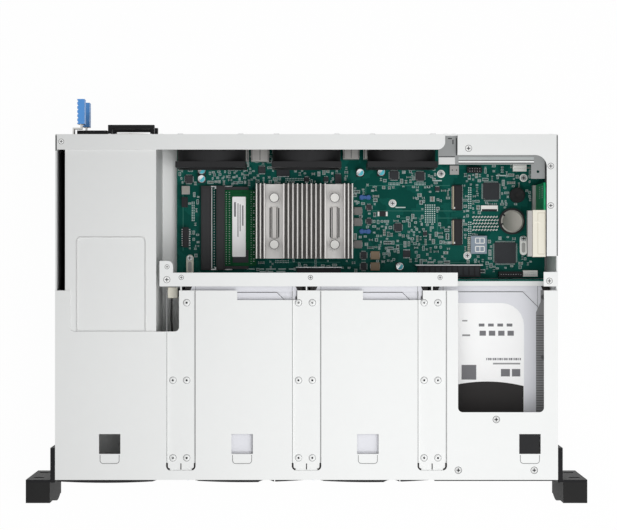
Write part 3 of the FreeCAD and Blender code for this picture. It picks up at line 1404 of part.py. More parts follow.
def control_panel():
    """Front plate on a bracket under the cover, with its board and a serial-bus port."""
    middle = "(1.5 * col_pitch)"
    low = f"({SHELF_LOW} + shelf_t + bezel_lift)"
    level = f"({low} + panel_h / 2)"
    plate = block(f"{middle} - panel_w / 2", f"{middle} + panel_w / 2", "0", "panel_t",
                  low, f"{low} + panel_h")
    key_hole = rod("y", "power_key_x", "0 - panel_t", level, "power_key_r + run_gap", "3 * panel_t")
    port_hole = block("usb_x - usb_w / 2 - run_gap", "usb_x + usb_w / 2 + run_gap", "0 - panel_t",
                      "2 * panel_t", f"{level} - usb_h / 2 - run_gap", f"{level} + usb_h / 2 + run_gap")
    top = block("panel_box_left", "panel_box_right", "panel_t", "panel_box_d", f"{LID} - sheet_t", LID)
    webs = []
    for left in ("panel_box_left", "panel_box_right - sheet_t"):
        webs.append(block(left, f"{left} + sheet_t", "panel_t", "panel_box_d",
                          f"{SHELF_LOW} + shelf_t", f"{LID} - sheet_t"))
    frame = join(cut(plate, key_hole, port_hole), top, *webs)
    board = block("panel_box_left + sheet_t", "panel_box_right - sheet_t", "panel_board_y",
                  "panel_board_y + pcb_t", low, f"{low} + panel_h - cover_lip")
    port = block("usb_x - usb_w / 2", "usb_x + usb_w / 2", "run_gap", "panel_board_y",
                 f"{level} - usb_h / 2", f"{level} + usb_h / 2")
    mouth = block("usb_x - usb_w / 2 + usb_wall", "usb_x + usb_w / 2 - usb_wall", "0",
                  "panel_board_y - panel_t", f"{level} - usb_h / 2 + usb_wall",
                  f"{level} + usb_h / 2 - usb_wall")
    node("control_panel", frame, board, cut(port, mouth))
    key = join(rod("y", "power_key_x", "0 - power_key_proud", level, "power_key_r",
                   "power_key_proud + panel_t + 2 * run_gap"),
               rod("y", "power_key_x", "panel_t + run_gap", level, "power_key_r + key_flange", "run_gap * 4"),
               rod("y", "power_key_x", "panel_t + run_gap", level, "key_stem_r",
                   "panel_board_y - power_key_travel - panel_t - 2 * run_gap"))
    node("power_key", key)


mainboard()
processor = heatsink()
module_jaws = memory()
riser()
battery()
node("board_chips", processor, *[on_board(name) for name in CHIPS])
node("board_sockets", module_jaws, *[on_board(name) for name in SOCKETS])
node("power_components", *[post_on_board(name) for name in CAPACITORS], *[on_board(name) for name in COILS])
node("board_indicators", post_on_board("buzzer"), on_board("digits"))
left_bezel()
control_panel()


def main():
    """Recompute, check every object and write each sub-part."""
    doc.recompute()
    for thing in doc.Objects:
        if "Invalid" in thing.State or "Error" in thing.State:
            raise RuntimeError(f"{thing.Name} ({thing.Label}) did not compute")
    for label, thing in nodes.items():
        if thing.Shape.isNull() or not thing.Shape.isValid() or not thing.Shape.Solids:
            raise RuntimeError(f"{label} has no valid solid")
    os.makedirs("parts", exist_ok=True)
    for label, thing in nodes.items():
        thing.Shape.exportStep(f"parts/{label}.step")


main()
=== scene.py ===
"""Looks of a two-unit rackmount storage server: finishes for every solid, and its small fittings.

Sizes are millimetres.  x runs to the right, y to the rear from the front plane of the chassis and z up,
and `at` turns them into the frame's metres.
"""
import math
import random

import bpy
from mathutils import Matrix, Vector


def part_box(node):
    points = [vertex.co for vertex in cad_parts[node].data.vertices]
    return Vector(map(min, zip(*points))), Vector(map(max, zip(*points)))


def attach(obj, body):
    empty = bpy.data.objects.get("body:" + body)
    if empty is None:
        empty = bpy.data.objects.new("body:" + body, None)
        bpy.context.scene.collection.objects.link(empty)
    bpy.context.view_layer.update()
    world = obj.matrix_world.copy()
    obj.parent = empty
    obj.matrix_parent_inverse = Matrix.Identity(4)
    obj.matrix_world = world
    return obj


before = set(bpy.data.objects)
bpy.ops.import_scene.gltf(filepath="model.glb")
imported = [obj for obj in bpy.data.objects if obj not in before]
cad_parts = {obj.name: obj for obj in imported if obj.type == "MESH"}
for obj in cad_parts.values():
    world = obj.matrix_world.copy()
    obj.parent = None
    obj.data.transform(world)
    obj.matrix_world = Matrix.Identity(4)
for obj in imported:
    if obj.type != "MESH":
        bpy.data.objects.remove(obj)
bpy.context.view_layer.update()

MM = 0.001
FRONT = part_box("front_top_cover")[0].y
SHARP = math.radians(38)
QUARTER = math.pi / 2
SEED = 20
BOTH = (-1, 1)
BAYS = ("upper_left", "upper_middle", "lower_left", "lower_middle", "lower_right")
SUPPLIES = ("upper_supply", "lower_supply")
FANS = ("left_fan", "middle_fan", "right_fan")


def at(x, y, z):
    """Point of the frame, in metres, from millimetres behind the front plane."""
    return Vector((x * MM, FRONT + y * MM, z * MM))


def mm(point):
    """Millimetres behind the front plane, from a point of the frame."""
    return Vector((point.x / MM, (point.y - FRONT) / MM, point.z / MM))


def span(name):
    """Low and high corner of a node, in millimetres."""
    return [mm(corner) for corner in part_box(name)]


def face_middle(name, facing):
    """Middle of a node's front or rear side."""
    low, high = span(name)
    return (low.x + high.x) / 2, low.y if facing == "front" else high.y, (low.z + high.z) / 2


def spread(count, pitch):
    """Evenly spaced shifts about zero."""
    return [(step - (count - 1) / 2) * pitch for step in range(count)]


def grid(u, v, columns, rows, pitch_u, pitch_v):
    """Evenly spaced spots about a middle."""
    across = spread(columns, pitch_u)
    along = spread(rows, pitch_v)
    return [(u + shift_u, v + shift_v) for shift_u in across for shift_v in along]


# Finishes

SLOW_SHARE = 24
GLOSS = 0.06
GRAIN_DEPTH = 0.0002
TRACK_PITCH = 0.7
TRACK_LEVEL = 0.7
TRACK_DEPTH = 0.00005
TRACK_BUMP = 0.25
# Radians that the wave texture runs through over one unit, at a scale of one
WAVE_TURN = 20
# Roughness, metal and specular level of the solder mask
MASK_LOOK = (0.45, 0.0, 0.1)
PATCH_SCALE = 130.0
PATCH_BARE = 0.45
CLOUD_SCALE = 70.0
CLOUD_TONE = 0.15


def add(tree, kind, inputs, **settings):
    """New shader node whose inputs are plain values or other nodes' sockets."""
    made = tree.nodes.new("ShaderNode" + kind)
    for key, setting in settings.items():
        setattr(made, key, setting)
    for key, entry in inputs.items():
        if isinstance(entry, bpy.types.NodeSocket):
            tree.links.new(entry, made.inputs[key])
        else:
            made.inputs[key].default_value = entry
    return made


def calculate(tree, operation, first, second):
    """Result of an operation on two values."""
    return add(tree, "Math", {0: first, 1: second}, operation=operation).outputs[0]


def blend(tree, factor, first, second):
    """Colour between two colours."""
    return add(tree, "Mix", {0: factor, 6: first, 7: second}, data_type="RGBA").outputs[2]


def shade(colour, share):
    """A colour made lighter or darker."""
    return tuple(min(1.0, part * share) for part in colour) + (1.0,)


def start_material(name, rough, metal, specular):
    """Material with its shader and the object's own coordinates."""
    material = bpy.data.materials.new(name)
    material.use_nodes = True
    tree = material.node_tree
    shader = tree.nodes["Principled BSDF"]
    shader.inputs["Metallic"].default_value = metal
    shader.inputs["Roughness"].default_value = rough
    shader.inputs["Specular IOR Level"].default_value = specular
    return material, tree, shader, add(tree, "TexCoord", {}).outputs["Object"]


def finish(name, colour, rough, metal=0, grain=900, stretch=(1, 1, 1), tone=0.05, bump=0.12, specular=0.5):
    """Surface with a fine grain in its relief and gloss, and a slow drift in its tone."""
    material, tree, shader, coords = start_material(name, rough, metal, specular)
    place = add(tree, "Mapping", {"Vector": coords, "Scale": stretch}).outputs[0]
    fine = add(tree, "TexNoise", {"Vector": place, "Scale": grain, "Detail": 3.0}).outputs[0]
    slow = add(tree, "TexNoise", {"Vector": place, "Scale": grain / SLOW_SHARE, "Detail": 2.0}).outputs[0]
    mixed = blend(tree, slow, shade(colour, 1 - tone), shade(colour, 1 + tone))
    gloss = add(tree, "MapRange", {"Value": fine, "To Min": rough - GLOSS, "To Max": rough + GLOSS})
    relief = add(tree, "Bump", {"Height": fine, "Strength": bump, "Distance": GRAIN_DEPTH})
    tree.links.new(mixed, shader.inputs["Base Color"])
    tree.links.new(gloss.outputs[0], shader.inputs["Roughness"])
    tree.links.new(relief.outputs[0], shader.inputs["Normal"])
    return material


def circuit(name, mask, copper):
    """Solder mask over patches of parallel copper tracks."""
    material, tree, shader, coords = start_material(name, *MASK_LOOK)
    bands = math.tau / (WAVE_TURN * TRACK_PITCH * MM)
    patches = add(tree, "TexVoronoi", {"Vector": coords, "Scale": PATCH_SCALE}, distance="CHEBYCHEV")
    parts = add(tree, "SeparateColor", {"Color": patches.outputs["Color"]})
    along = add(tree, "TexWave", {"Vector": coords, "Scale": bands}, bands_direction="X")
    across = add(tree, "TexWave", {"Vector": coords, "Scale": bands}, bands_direction="Y")
    turned = calculate(tree, "GREATER_THAN", parts.outputs[0], 0.5)
    waves = blend(tree, turned, along.outputs["Color"], across.outputs["Color"])
    tracks = calculate(tree, "GREATER_THAN", waves, TRACK_LEVEL)
    filled = calculate(tree, "GREATER_THAN", parts.outputs[1], PATCH_BARE)
    drawn = calculate(tree, "MULTIPLY", tracks, filled)
    cloud = add(tree, "TexNoise", {"Vector": coords, "Scale": CLOUD_SCALE, "Detail": 3.0})
    ground = blend(tree, cloud.outputs[0], shade(mask, 1 - CLOUD_TONE), shade(mask, 1 + CLOUD_TONE))
    tree.links.new(blend(tree, drawn, ground, copper + (1.0,)), shader.inputs["Base Color"])
    relief = add(tree, "Bump", {"Height": drawn, "Strength": TRACK_BUMP, "Distance": TRACK_DEPTH})
    tree.links.new(relief.outputs[0], shader.inputs["Normal"])
    return material


PAINT = finish("painted_steel_white", (0.8, 0.81, 0.805), 0.48, grain=2600, tone=0.012, bump=0.1)
ZINC = finish("zinc_plated_steel", (0.6, 0.592, 0.57), 0.42, metal=1, grain=500, tone=0.1)
SCREW = finish("screw_steel", (0.8, 0.805, 0.8), 0.5, metal=1, grain=700, tone=0.08)
# Flat dark that stands for shade: painted shade in recesses, holes, seams and gaps, and under edges
PAINTED_SHADE = finish("recess_painted_shade", (0.055, 0.056, 0.058), 0.6, specular=0.2)
# Grey of painted shade on seams, ribs and rivets, and of the print bars on the drive labels
SHADE_AND_PRINT_GREY = finish("grey_shade_and_print", (0.3, 0.305, 0.305), 0.6, specular=0.2)
# Light grey of painted shade along pressed edges, the rear strip's edge and the shelf clip's lip
EDGE_SHADE = finish("pressed_edge", (0.68, 0.685, 0.68), 0.6, specular=0.2)
# Painted shade: darker steel for the card shelf and the plate beside it, which lie in shade
SHELF_SHADE = finish("shelf_painted_shade", (0.3, 0.31, 0.31), 0.5, tone=0.06, specular=0.2)
TIN = finish("tinned_contact", (0.72, 0.73, 0.74), 0.4, metal=0.85, grain=700, tone=0.06)
# Solder grey, also the widest band of painted shade on the card shelf
SOLDER_AND_SHADE = finish("solder_grey_and_painted_shade", (0.44, 0.47, 0.47), 0.5, metal=0.2, grain=700, tone=0.1)
COIN = finish("coin_nickel", (0.42, 0.4, 0.365), 0.46, metal=0.9, grain=300, stretch=(1, 0.1, 1), tone=0.1)
GOLD = finish("gold_contact", (0.83, 0.6, 0.24), 0.3, metal=1, grain=700)
EAR_STEEL = finish("ear_black_steel", (0.014, 0.014, 0.015), 0.52, grain=2200, tone=0.1, specular=0.13)
EAR_PLASTIC = finish("ear_dark_plastic", (0.021, 0.021, 0.021), 0.6, grain=1800, tone=0.12, bump=0.25,
                     specular=0.12)
BLACK = finish("moulded_black", (0.021, 0.021, 0.022), 0.5, grain=1500, tone=0.12, bump=0.2, specular=0.15)
SOCKET = finish("socket_black", (0.024, 0.024, 0.026), 0.52, grain=1500, tone=0.1, specular=0.2)
SOCKET_GREY = finish("memory_socket", (0.04, 0.04, 0.042), 0.52, grain=1500, tone=0.1, specular=0.2)
RUBBER = finish("cable_black", (0.03, 0.03, 0.03), 0.6, specular=0.25)
LINING = finish("lining_sheet", (0.135, 0.135, 0.138), 0.6, specular=0.2)
BLUE = finish("latch_blue", (0.106, 0.338, 0.775), 0.42, grain=1200, bump=0.15)
CREAM = finish("cream_plastic", (0.78, 0.75, 0.65), 0.45, grain=1200, tone=0.03)
NYLON = finish("white_nylon", (0.88, 0.87, 0.84), 0.48, grain=1200, tone=0.03)
GREY = finish("grey_plastic_light", (0.42, 0.41, 0.4), 0.48, grain=1200)
EPOXY = finish("chip_epoxy", (0.038, 0.04, 0.044), 0.55, grain=2600, tone=0.1, specular=0.2)
LASER = finish("chip_mark", (0.1, 0.1, 0.105), 0.62, grain=2600)
LID = finish("drive_lid", (0.72, 0.725, 0.765), 0.44, metal=0.15, grain=420, stretch=(1, 0.1, 1), tone=0.03)
RAIL = finish("ribbed_rail", (0.265, 0.265, 0.27), 0.5, tone=0.12, specular=0.2)
CAST = finish("drive_casting", (0.14, 0.14, 0.144), 0.5, metal=0.8, grain=260, stretch=(0.1, 1, 1), tone=0.35)
FIN = finish("extruded_aluminium", (0.88, 0.86, 0.84), 0.42, metal=0.7, grain=420, stretch=(1, 0.03, 1),
             tone=0.06)
FIN_TOP = finish("fin_edge", (0.77, 0.748, 0.726), 0.45, metal=0.7, grain=420, stretch=(1, 0.03, 1), tone=0.1)
# Painted shade for the fin sides and the floors between the fins
FIN_SIDE_SHADE = finish("aluminium_shade", (0.4, 0.387, 0.373), 0.5, metal=0.6, grain=420, stretch=(1, 0.03, 1),
                  tone=0.06)
JACK = finish("jack_shell", (0.66, 0.648, 0.625), 0.45, metal=1, grain=500, tone=0.1)
CAN = finish("capacitor_can", (0.8, 0.82, 0.83), 0.26, metal=0.9, grain=500)
FERRITE = finish("ferrite_grey", (0.17, 0.165, 0.16), 0.55, tone=0.12)
COPPER_COIL = finish("coil_brown", (0.27, 0.2, 0.135), 0.55, tone=0.15)
CERAMIC = finish("ceramic_tan", (0.2, 0.18, 0.15), 0.5, tone=0.25)
# Tan of the card contacts, also lines of painted shade round the expansion slot's mouth
TAN_AND_SHADE = finish("contact_tan_and_painted_shade", (0.42, 0.37, 0.27), 0.45, tone=0.1)
BLUE_PART = finish("part_blue", (0.045, 0.115, 0.31), 0.45, grain=1200, tone=0.1)
RESISTOR = finish("resistor_black", (0.02, 0.021, 0.023), 0.46, tone=0.2, specular=0.25)
SILK = finish("silkscreen", (0.56, 0.66, 0.65), 0.6, grain=1600, tone=0.1)
TRACK = finish("copper_track", (0.02, 0.15, 0.115), 0.36, tone=0.1)
LABEL = finish("white_label", (0.94, 0.94, 0.94), 0.46, grain=700, tone=0.02)
LABEL_GREY = finish("label_print", (0.16, 0.16, 0.17), 0.46, grain=700)
# Black of the label band and of the drive clips, also painted shade in the cover's slits and the buzzer's
# sound hole
LABEL_BLACK_AND_SHADE = finish("black_label_and_painted_shade", (0.028, 0.026, 0.026), 0.48, grain=700, tone=0.08, specular=0.2)
CYAN = finish("capacitor_mark", (0.1, 0.52, 0.62), 0.35, grain=700)
PALE_BLUE = finish("display_face", (0.25, 0.3, 0.36), 0.4, grain=1200)
BOARD_EDGE = finish("board_edge", (0.1, 0.13, 0.06), 0.6, grain=1500, tone=0.2)
BOARD = circuit("mainboard_green", (0.0019, 0.061, 0.048), (0.01, 0.121, 0.097))
MODULE_BOARD = circuit("module_green", (0.005, 0.068, 0.024), (0.012, 0.105, 0.035))
RISER_BOARD = circuit("riser_green", (0.02, 0.33, 0.14), (0.06, 0.45, 0.21))
GLOW_GREEN = finish("lens_green", (0.1, 0.62, 0.22), 0.25, grain=700)
GLOW_BLUE = finish("lens_blue", (0.12, 0.36, 0.8), 0.25, grain=700)


# Dressing the solids

def dress(name, materials, choose=None):
    """Give a node its finishes; `choose` picks one from a face's middle and normal."""
    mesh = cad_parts[name].data
    mesh.materials.clear()
    for material in materials:
        mesh.materials.append(material)
    for face in mesh.polygons:
        face.material_index = choose(mm(face.center), face.normal) if choose else 0


def solids(name):
    """Faces, low corner and high corner of each separate solid of a node."""
    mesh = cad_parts[name].data
    keys = [tuple(round(part, 6) for part in vertex.co) for vertex in mesh.vertices]
    group = {}

    def root(key):
        while group.setdefault(key, key) != key:
            key = group[key]
        return key

    for face in mesh.polygons:
        first = root(keys[face.vertices[0]])
        for corner in face.vertices[1:]:
            group[root(keys[corner])] = first
    found = {}
    for face in mesh.polygons:
        found.setdefault(root(keys[face.vertices[0]]), []).append(face)
    listed = []
    for faces in found.values():
        corners = [mm(mesh.vertices[index].co) for face in faces for index in face.vertices]
        low, high = (Vector([pick(axis) for axis in zip(*corners)]) for pick in (min, max))
        listed.append((faces, low, high))
    return sorted(listed, key=lambda item: tuple(item[1]))


def dress_solids(name, materials, choose):
    """Give each solid of a node one finish, picked from its two corners."""
    dress(name, materials)
    for faces, low, high in solids(name):
        tint = choose(low, high)
        for face in faces:
            face.material_index = tint


# Building pieces

FACINGS = {
    "up": Matrix(((1, 0, 0), (0, 1, 0), (0, 0, 1))),
    "front": Matrix(((1, 0, 0), (0, 0, -1), (0, 1, 0))),
    "rear": Matrix(((-1, 0, 0), (0, 0, 1), (0, 1, 0))),
    "left": Matrix(((0, 0, -1), (-1, 0, 0), (0, 1, 0))),
    "right": Matrix(((0, 0, 1), (1, 0, 0), (0, 1, 0))),
}
STEEP = 0.9
# Shares of a screw's radius and height
CROSS_ARM = 0.62
CROSS_HALF = 0.15
CROSS_THROAT = 0.2
CROSS_FLOOR = 0.25
HEAD_TOP = 0.86
HEAD_RIM = 0.6
# Usual bevels
THIN = 0.05
FINE = 0.1
SOFT = 0.2


def rectangle(wide, deep):
    """Corners of a rectangle about the origin."""
    return [(-wide / 2, -deep / 2), (wide / 2, -deep / 2), (wide / 2, deep / 2), (-wide / 2, deep / 2)]


def circle(radius, sides=28):
    """Points of a circle about the origin."""
    turns = [math.tau * step / sides for step in range(sides)]
    return [(radius * math.cos(turn), radius * math.sin(turn)) for turn in turns]


def bend(x, y, start, radius, steps=6):
    """Quarter turn about a corner's middle, from a start angle counted in quarters."""
    turns = [QUARTER * (start + step / steps) for step in range(steps + 1)]
    return [(x + radius * math.cos(turn), y + radius * math.sin(turn)) for turn in turns]


def rounded(wide, deep, radii):
    """Rectangle whose four corners, from the right rear one round to the right front one, have radii."""
    points = []
    for quarter, radius in enumerate(radii):
        side_u = 1 if quarter in (0, 3) else -1
        side_v = 1 if quarter in (0, 1) else -1
        points += bend(side_u * (wide / 2 - radius), side_v * (deep / 2 - radius), quarter, radius)
    return points


def mirror(points, x):
    """Flat points seen in a mirror that stands at x."""
    return [(2 * x - u, v) for u, v in points]


def inset(points, distance):
    """A convex outline moved inwards by a distance."""
    moved = []
    for index, point in enumerate(points):
        before = Vector(point) - Vector(points[index - 1])
        after = Vector(points[(index + 1) % len(points)]) - Vector(point)
        first = Vector((-before.y, before.x)).normalized()
        second = Vector((-after.y, after.x)).normalized()
        moved.append(Vector(point) + (first + second) * distance / (1 + first.dot(second)))
    return moved


class Piece:
    """Parts gathered into one mesh that rides on a body; each part is a stack of rings."""

    def __init__(self, name, slot="bare_steel", body="chassis", place=at):
        self.name = name
        self.slot = slot
        self.body = body
        self.place = place
        self.points = []
        self.faces = []
        self.tints = []
        self.materials = []

    def loft(self, material, place, rings, facing="up", turn=0.0, caps=(True, True)):
        """Skin a stack of equal rings of (u, v, out) points, set at a place and turned about its facing."""
        if material not in self.materials:
            self.materials.append(material)
        way = FACINGS[facing] @ Matrix.Rotation(turn, 3, "Z")
        origin = self.place(*place)
        start = len(self.points)
        count = len(rings[0])
        made = []
        for ring in rings:
            self.points.extend(origin + way @ Vector(point) * MM for point in ring)
        for level in range(len(rings) - 1):
            base = start + level * count
            for index in range(count):
                after = (index + 1) % count
                made.append((base + index, base + after, base + count + after, base + count + index))
        if caps[0]:
            made.append(tuple(start + index for index in reversed(range(count))))
        if caps[1]:
            last = start + (len(rings) - 1) * count
            made.append(tuple(last + index for index in range(count)))
        self.faces.extend(made)
        self.tints.extend([self.materials.index(material)] * len(made))

    def prism(self, material, place, points, height, bevel=0.0, shift=(0, 0, 0), **how):
        """Raise an outline to a height, with its top edge bevelled."""
        levels = [(points, 0.0), (points, height - bevel)]
        if bevel:
            levels.append((inset(points, bevel), height))
        u, v, out = shift
        rings = [[(point[0] + u, point[1] + v, out + level) for point in ring] for ring, level in levels]
        self.loft(material, place, rings, **how)

    def block(self, material, place, size, bevel=0.0, **how):
        """Box about a place, standing on it."""
        self.prism(material, place, rectangle(size[0], size[1]), size[2], bevel, **how)

    def blocks(self, table):
        """Boxes from a table of finish, place, size and bevel."""
        for row in table.values():
            self.block(*row)

    def plate(self, material, place, size, radius, bevel=0.0, **how):
        """Box with rounded upright edges."""
        self.prism(material, place, rounded(size[0], size[1], (radius,) * 4), size[2], bevel, **how)

    def disc(self, material, place, radius, height, bevel=0.0, sides=28, **how):
        """Round plate about a place, standing on it."""
        self.prism(material, place, circle(radius, sides), height, bevel, **how)

    def turned(self, material, place, profile, **how):
        """Solid of revolution from (radius, out) pairs."""
        rings = [[(u, v, out) for u, v in circle(radius)] for radius, out in profile]
        self.loft(material, place, rings, **how)

    def screw(self, place, radius, height, material=SCREW, **how):
        """Flat-topped head with a sunk cross painted dark as shade."""
        arm = CROSS_ARM * radius
        half = CROSS_HALF * radius
        throat = half + CROSS_THROAT * arm
        cross = []
        for quarter in range(4):
            spin = Matrix.Rotation(QUARTER * quarter, 2)
            for point in ((arm, -half), (arm, 0), (arm, half), (throat, half), (half, half), (half, throat)):
                cross.append(spin @ Vector(point))
        rim = [radius * point.normalized() for point in cross]
        top = [HEAD_TOP * point for point in rim]
        head = ((rim, 0.0), (rim, HEAD_RIM * height), (top, height), (cross, height))
        sunk = ((cross, height), (cross, CROSS_FLOOR * height))
        for tint, levels, caps in ((material, head, (True, False)), (PAINTED_SHADE, sunk, (False, True))):
            rings = [[(point[0], point[1], out) for point in ring] for ring, out in levels]
            self.loft(tint, place, rings, caps=caps, **how)

    def tube(self, material, route, radius, sides=10):
        """Round wire through points in millimetres."""
        rings = []
        for index, point in enumerate(route):
            ahead = Vector(route[min(index + 1, len(route) - 1)])
            behind = Vector(route[max(index - 1, 0)])
            run = (ahead - behind).normalized()
            side = run.cross(Vector((0, 0, 1)) if abs(run.z) < STEEP else Vector((1, 0, 0))).normalized()
            up = side.cross(run)
            rings.append([Vector(point) + side * u + up * v for u, v in circle(radius, sides)])
        self.loft(material, (0, 0, 0), rings)

    def trace(self, material, points, z, radius, sides=8):
        """Round wire along flat points at one height."""
        self.tube(material, [(u, v, z) for u, v in points], radius, sides)

    def done(self):
        """Make the mesh and let it ride."""
        mesh = bpy.data.meshes.new(self.name)
        mesh.from_pydata(self.points, [], self.faces)
        for material in self.materials:
            mesh.materials.append(material)
        mesh.polygons.foreach_set("material_index", self.tints)
        mesh.polygons.foreach_set("use_smooth", [True] * len(self.faces))
        mesh.set_sharp_from_angle(angle=SHARP)
        piece = bpy.data.objects.new(self.name, mesh)
        bpy.context.scene.collection.objects.link(piece)
        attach(piece, self.body)


# Finishes of the solids, node by node

PLAIN = (
    (PAINT, ("chassis_tray", "front_top_cover", "rear_rails", "crossbars", "bay_cage", "supply_cage")),
    (ZINC, ("rail_studs", "board_standoffs", "upper_supply_case", "lower_supply_case")),
    (BLACK, ("left_bezel", "fan_frames", "power_key", "upper_supply_fan", "lower_supply_fan")),
    (BLACK, [f"{fan}_rotor" for fan in FANS]),
    (BLACK, [f"{bay}_{kind}" for bay in BAYS for kind in ("tray", "lever", "button")]),
    (JACK, ("rear_ports",)),
    (SCREW, ("cover_screws",)),
    (EAR_STEEL, ("ear_angles",)),
    (EAR_PLASTIC, ("ear_caps",)),
    (NYLON, ("heatsink_pins",)),
    (EPOXY, ("board_chips",)),
)
TOUCH = 0.1
TILT = 0.5
SHELF_LEFT = 121.0
SHELF_RIGHT = 205.4
SHELF_TOP = 81.4
SHELF_DEEPEST = 2.0
REAR_IN = 295.8
LANES = (-28.7, 25.0)
LANE_HALF = 8.4
FIN_HIGH = span("heatsink")[1].z
board_low, board_high = span("mainboard")
riser_low, riser_high = span("riser")
module_low, module_high = span("memory_module")
SLOT_RIGHT = riser_low.x + 9.5
FOOT_TALL = 8.0
MODULE_T = (module_high.z - module_low.z) / 2
MODULE_BARE = 14.0
ABOVE_MODULE = 0.01
# Sockets are found by their middles on the mainboard
WHITE_SOCKETS = ((306.1, 98.5), (315.5, 4.4), (279.4, 62.7))
GREY_SOCKETS = ((247.9, 96.7), (8.1, 78.8))
NEAR = 2.0
MEMORY_SHORTEST = 60.0
DISPLAY_RIGHT = 290.0
COIN_WIDEST = 21.0
PLUG_WIDEST = 60.0
PLUG_TALLEST = 20.0
SHEET_DEEPEST = 2.0
PORT_WIDEST = 20.0
CAN_SHORTEST = 7.0
BROWN_LEFT = 170.0
GRIP_RUN = 21.5
GRIP_WALL = 1.1
BLADE_IN = 3.1
BLADE_HALF = 0.7


def on_board(u, v, out=0.0):
    """Point on the mainboard, from its left front corner."""
    return at(board_low.x + u, board_low.y + v, board_high.z + out)


def middle_on_board(low, high):
    """Middle of a solid, from the mainboard's left front corner."""
    return (low.x + high.x) / 2 - board_low.x, (low.y + high.y) / 2 - board_low.y


def panel_tint(spot, normal):
    """White sheet, and the shelf folded in from it, painted in shade."""
    inner = spot.y < REAR_IN - TOUCH and abs(normal.y) < TILT
    along = SHELF_LEFT - TOUCH < spot.x < SHELF_RIGHT + TOUCH
    return int(inner and along and spot.z > SHELF_TOP - SHELF_DEEPEST)


def fin_tint(spot, normal):
    """Bright bare lanes, duller fin tops, and fin sides and floors between fins painted darker as shade."""
    if any(abs(spot.x - lane) < LANE_HALF for lane in LANES) and normal.z > TILT:
        return 0
    return 1 if spot.z > FIN_HIGH - TOUCH else 2


def riser_tint(spot, normal):
    """Foot socket, upright board and pale slot, by where a face lies."""
    if spot.z < board_high.z + FOOT_TALL + TOUCH:
        return 0
    return 2 if spot.x < SLOT_RIGHT - TOUCH else 1


def module_tint(spot, normal):
    """Green board, and the dark chips at its front end."""
    return int(spot.z > module_low.z + MODULE_T + ABOVE_MODULE and spot.y < module_low.y + MODULE_BARE)


def socket_tint(low, high):
    """White, light grey, dark grey or black, by where the socket stands and how long it is."""
    middle = Vector(middle_on_board(low, high))
    if high.y - low.y > MEMORY_SHORTEST:
        return 3
    for tint, spots in ((1, WHITE_SOCKETS), (2, GREY_SOCKETS)):
        if any((middle - Vector(spot)).length < NEAR for spot in spots):
            return tint
    return 0


def panel_part_tint(low, high):
    """Moulded shell, thin circuit board and narrow steel port."""
    if high.y - low.y < SHEET_DEEPEST:
        return 1
    return 2 if high.x - low.x < PORT_WIDEST else 0


def component_tint(low, high):
    """Cans are tall; the coils further right are brown, the others grey."""
    if high.z - low.z > CAN_SHORTEST:
        return 0
    return 2 if middle_on_board(low, high)[0] > BROWN_LEFT else 1


for material, names in PLAIN:
    for name in names:
        dress(name, [material])
dress("rear_panel", [PAINT, SHELF_SHADE], panel_tint)
dress("heatsink", [FIN, FIN_TOP, FIN_SIDE_SHADE], fin_tint)
dress("mainboard", [BOARD, BOARD_EDGE], lambda spot, normal: int(abs(normal.z) < TILT))
dress("riser", [GREY, RISER_BOARD, CREAM], riser_tint)
dress("memory_module", [MODULE_BOARD, EPOXY], module_tint)
dress_solids("board_sockets", [SOCKET, NYLON, GREY, SOCKET_GREY], socket_tint)
dress_solids("board_indicators", [BLACK, PALE_BLUE],
             lambda low, high: int(middle_on_board(low, high)[0] < DISPLAY_RIGHT))
dress_solids("battery", [SOCKET, COIN], lambda low, high: int(high.x - low.x < COIN_WIDEST))
dress_solids("backplane", [BOARD, SOCKET], lambda low, high: int(high.x - low.x < PLUG_WIDEST))
dress_solids("power_board", [BOARD, SOCKET], lambda low, high: int(high.z - low.z < PLUG_TALLEST))
dress_solids("control_panel", [BLACK, BOARD, ZINC], panel_part_tint)
dress_solids("power_components", [CAN, FERRITE, COPPER_COIL], component_tint)
for bay in BAYS:
    lid_level = span(f"{bay}_drive")[1].z - TOUCH / 2
    dress(f"{bay}_drive", [CAST, LID], lambda spot, normal: int(spot.z > lid_level))
for supply in SUPPLIES:
    dress_solids(f"{supply}_fittings", [BLACK, ZINC], lambda low, high: int(high.y - low.y < SHEET_DEEPEST))
    grip_low, grip_high = span(f"{supply}_latch")

    def latch_tint(spot, normal):
        """The steel lever, and the moulded grip round its blade."""
        on_blade = abs(spot.x - grip_high.x + BLADE_IN) < BLADE_HALF
        inside = grip_low.z + GRIP_WALL < spot.z < grip_high.z - GRIP_WALL
        return int(spot.y > grip_high.y - GRIP_RUN and not (on_blade and inside))

    dress(f"{supply}_latch", [ZINC, BLUE], latch_tint)


# Sheet metal fittings

TOP = span("front_top_cover")[1].z
COLUMNS = (-108.0, 0.0, 108.0)
CHANNEL_FLOOR = 86.0
MARK_T = 0.05
RIVET_SIDES = (-6.9, 4.95)
RIVET_ROWS = (18.8, 85.5, 152.2)
# Column, row and side of the rivet left out and of those without a hole
NO_RIVET = (-108.0, 2, 0)
CLOSED_RIVETS = {(0.0, 2, 0), (0.0, 2, 1), (108.0, 2, 0)}
RIVET_DOME = ((2.7, 0), (2.7, 0.2), (2.3, 0.7), (1.5, 1.0), (0.95, 1.0))
RIVET_CORE = ((0.95, 1.0), (0.8, 0.35), (0.4, 0.2))
RIVET_RING = 3.15
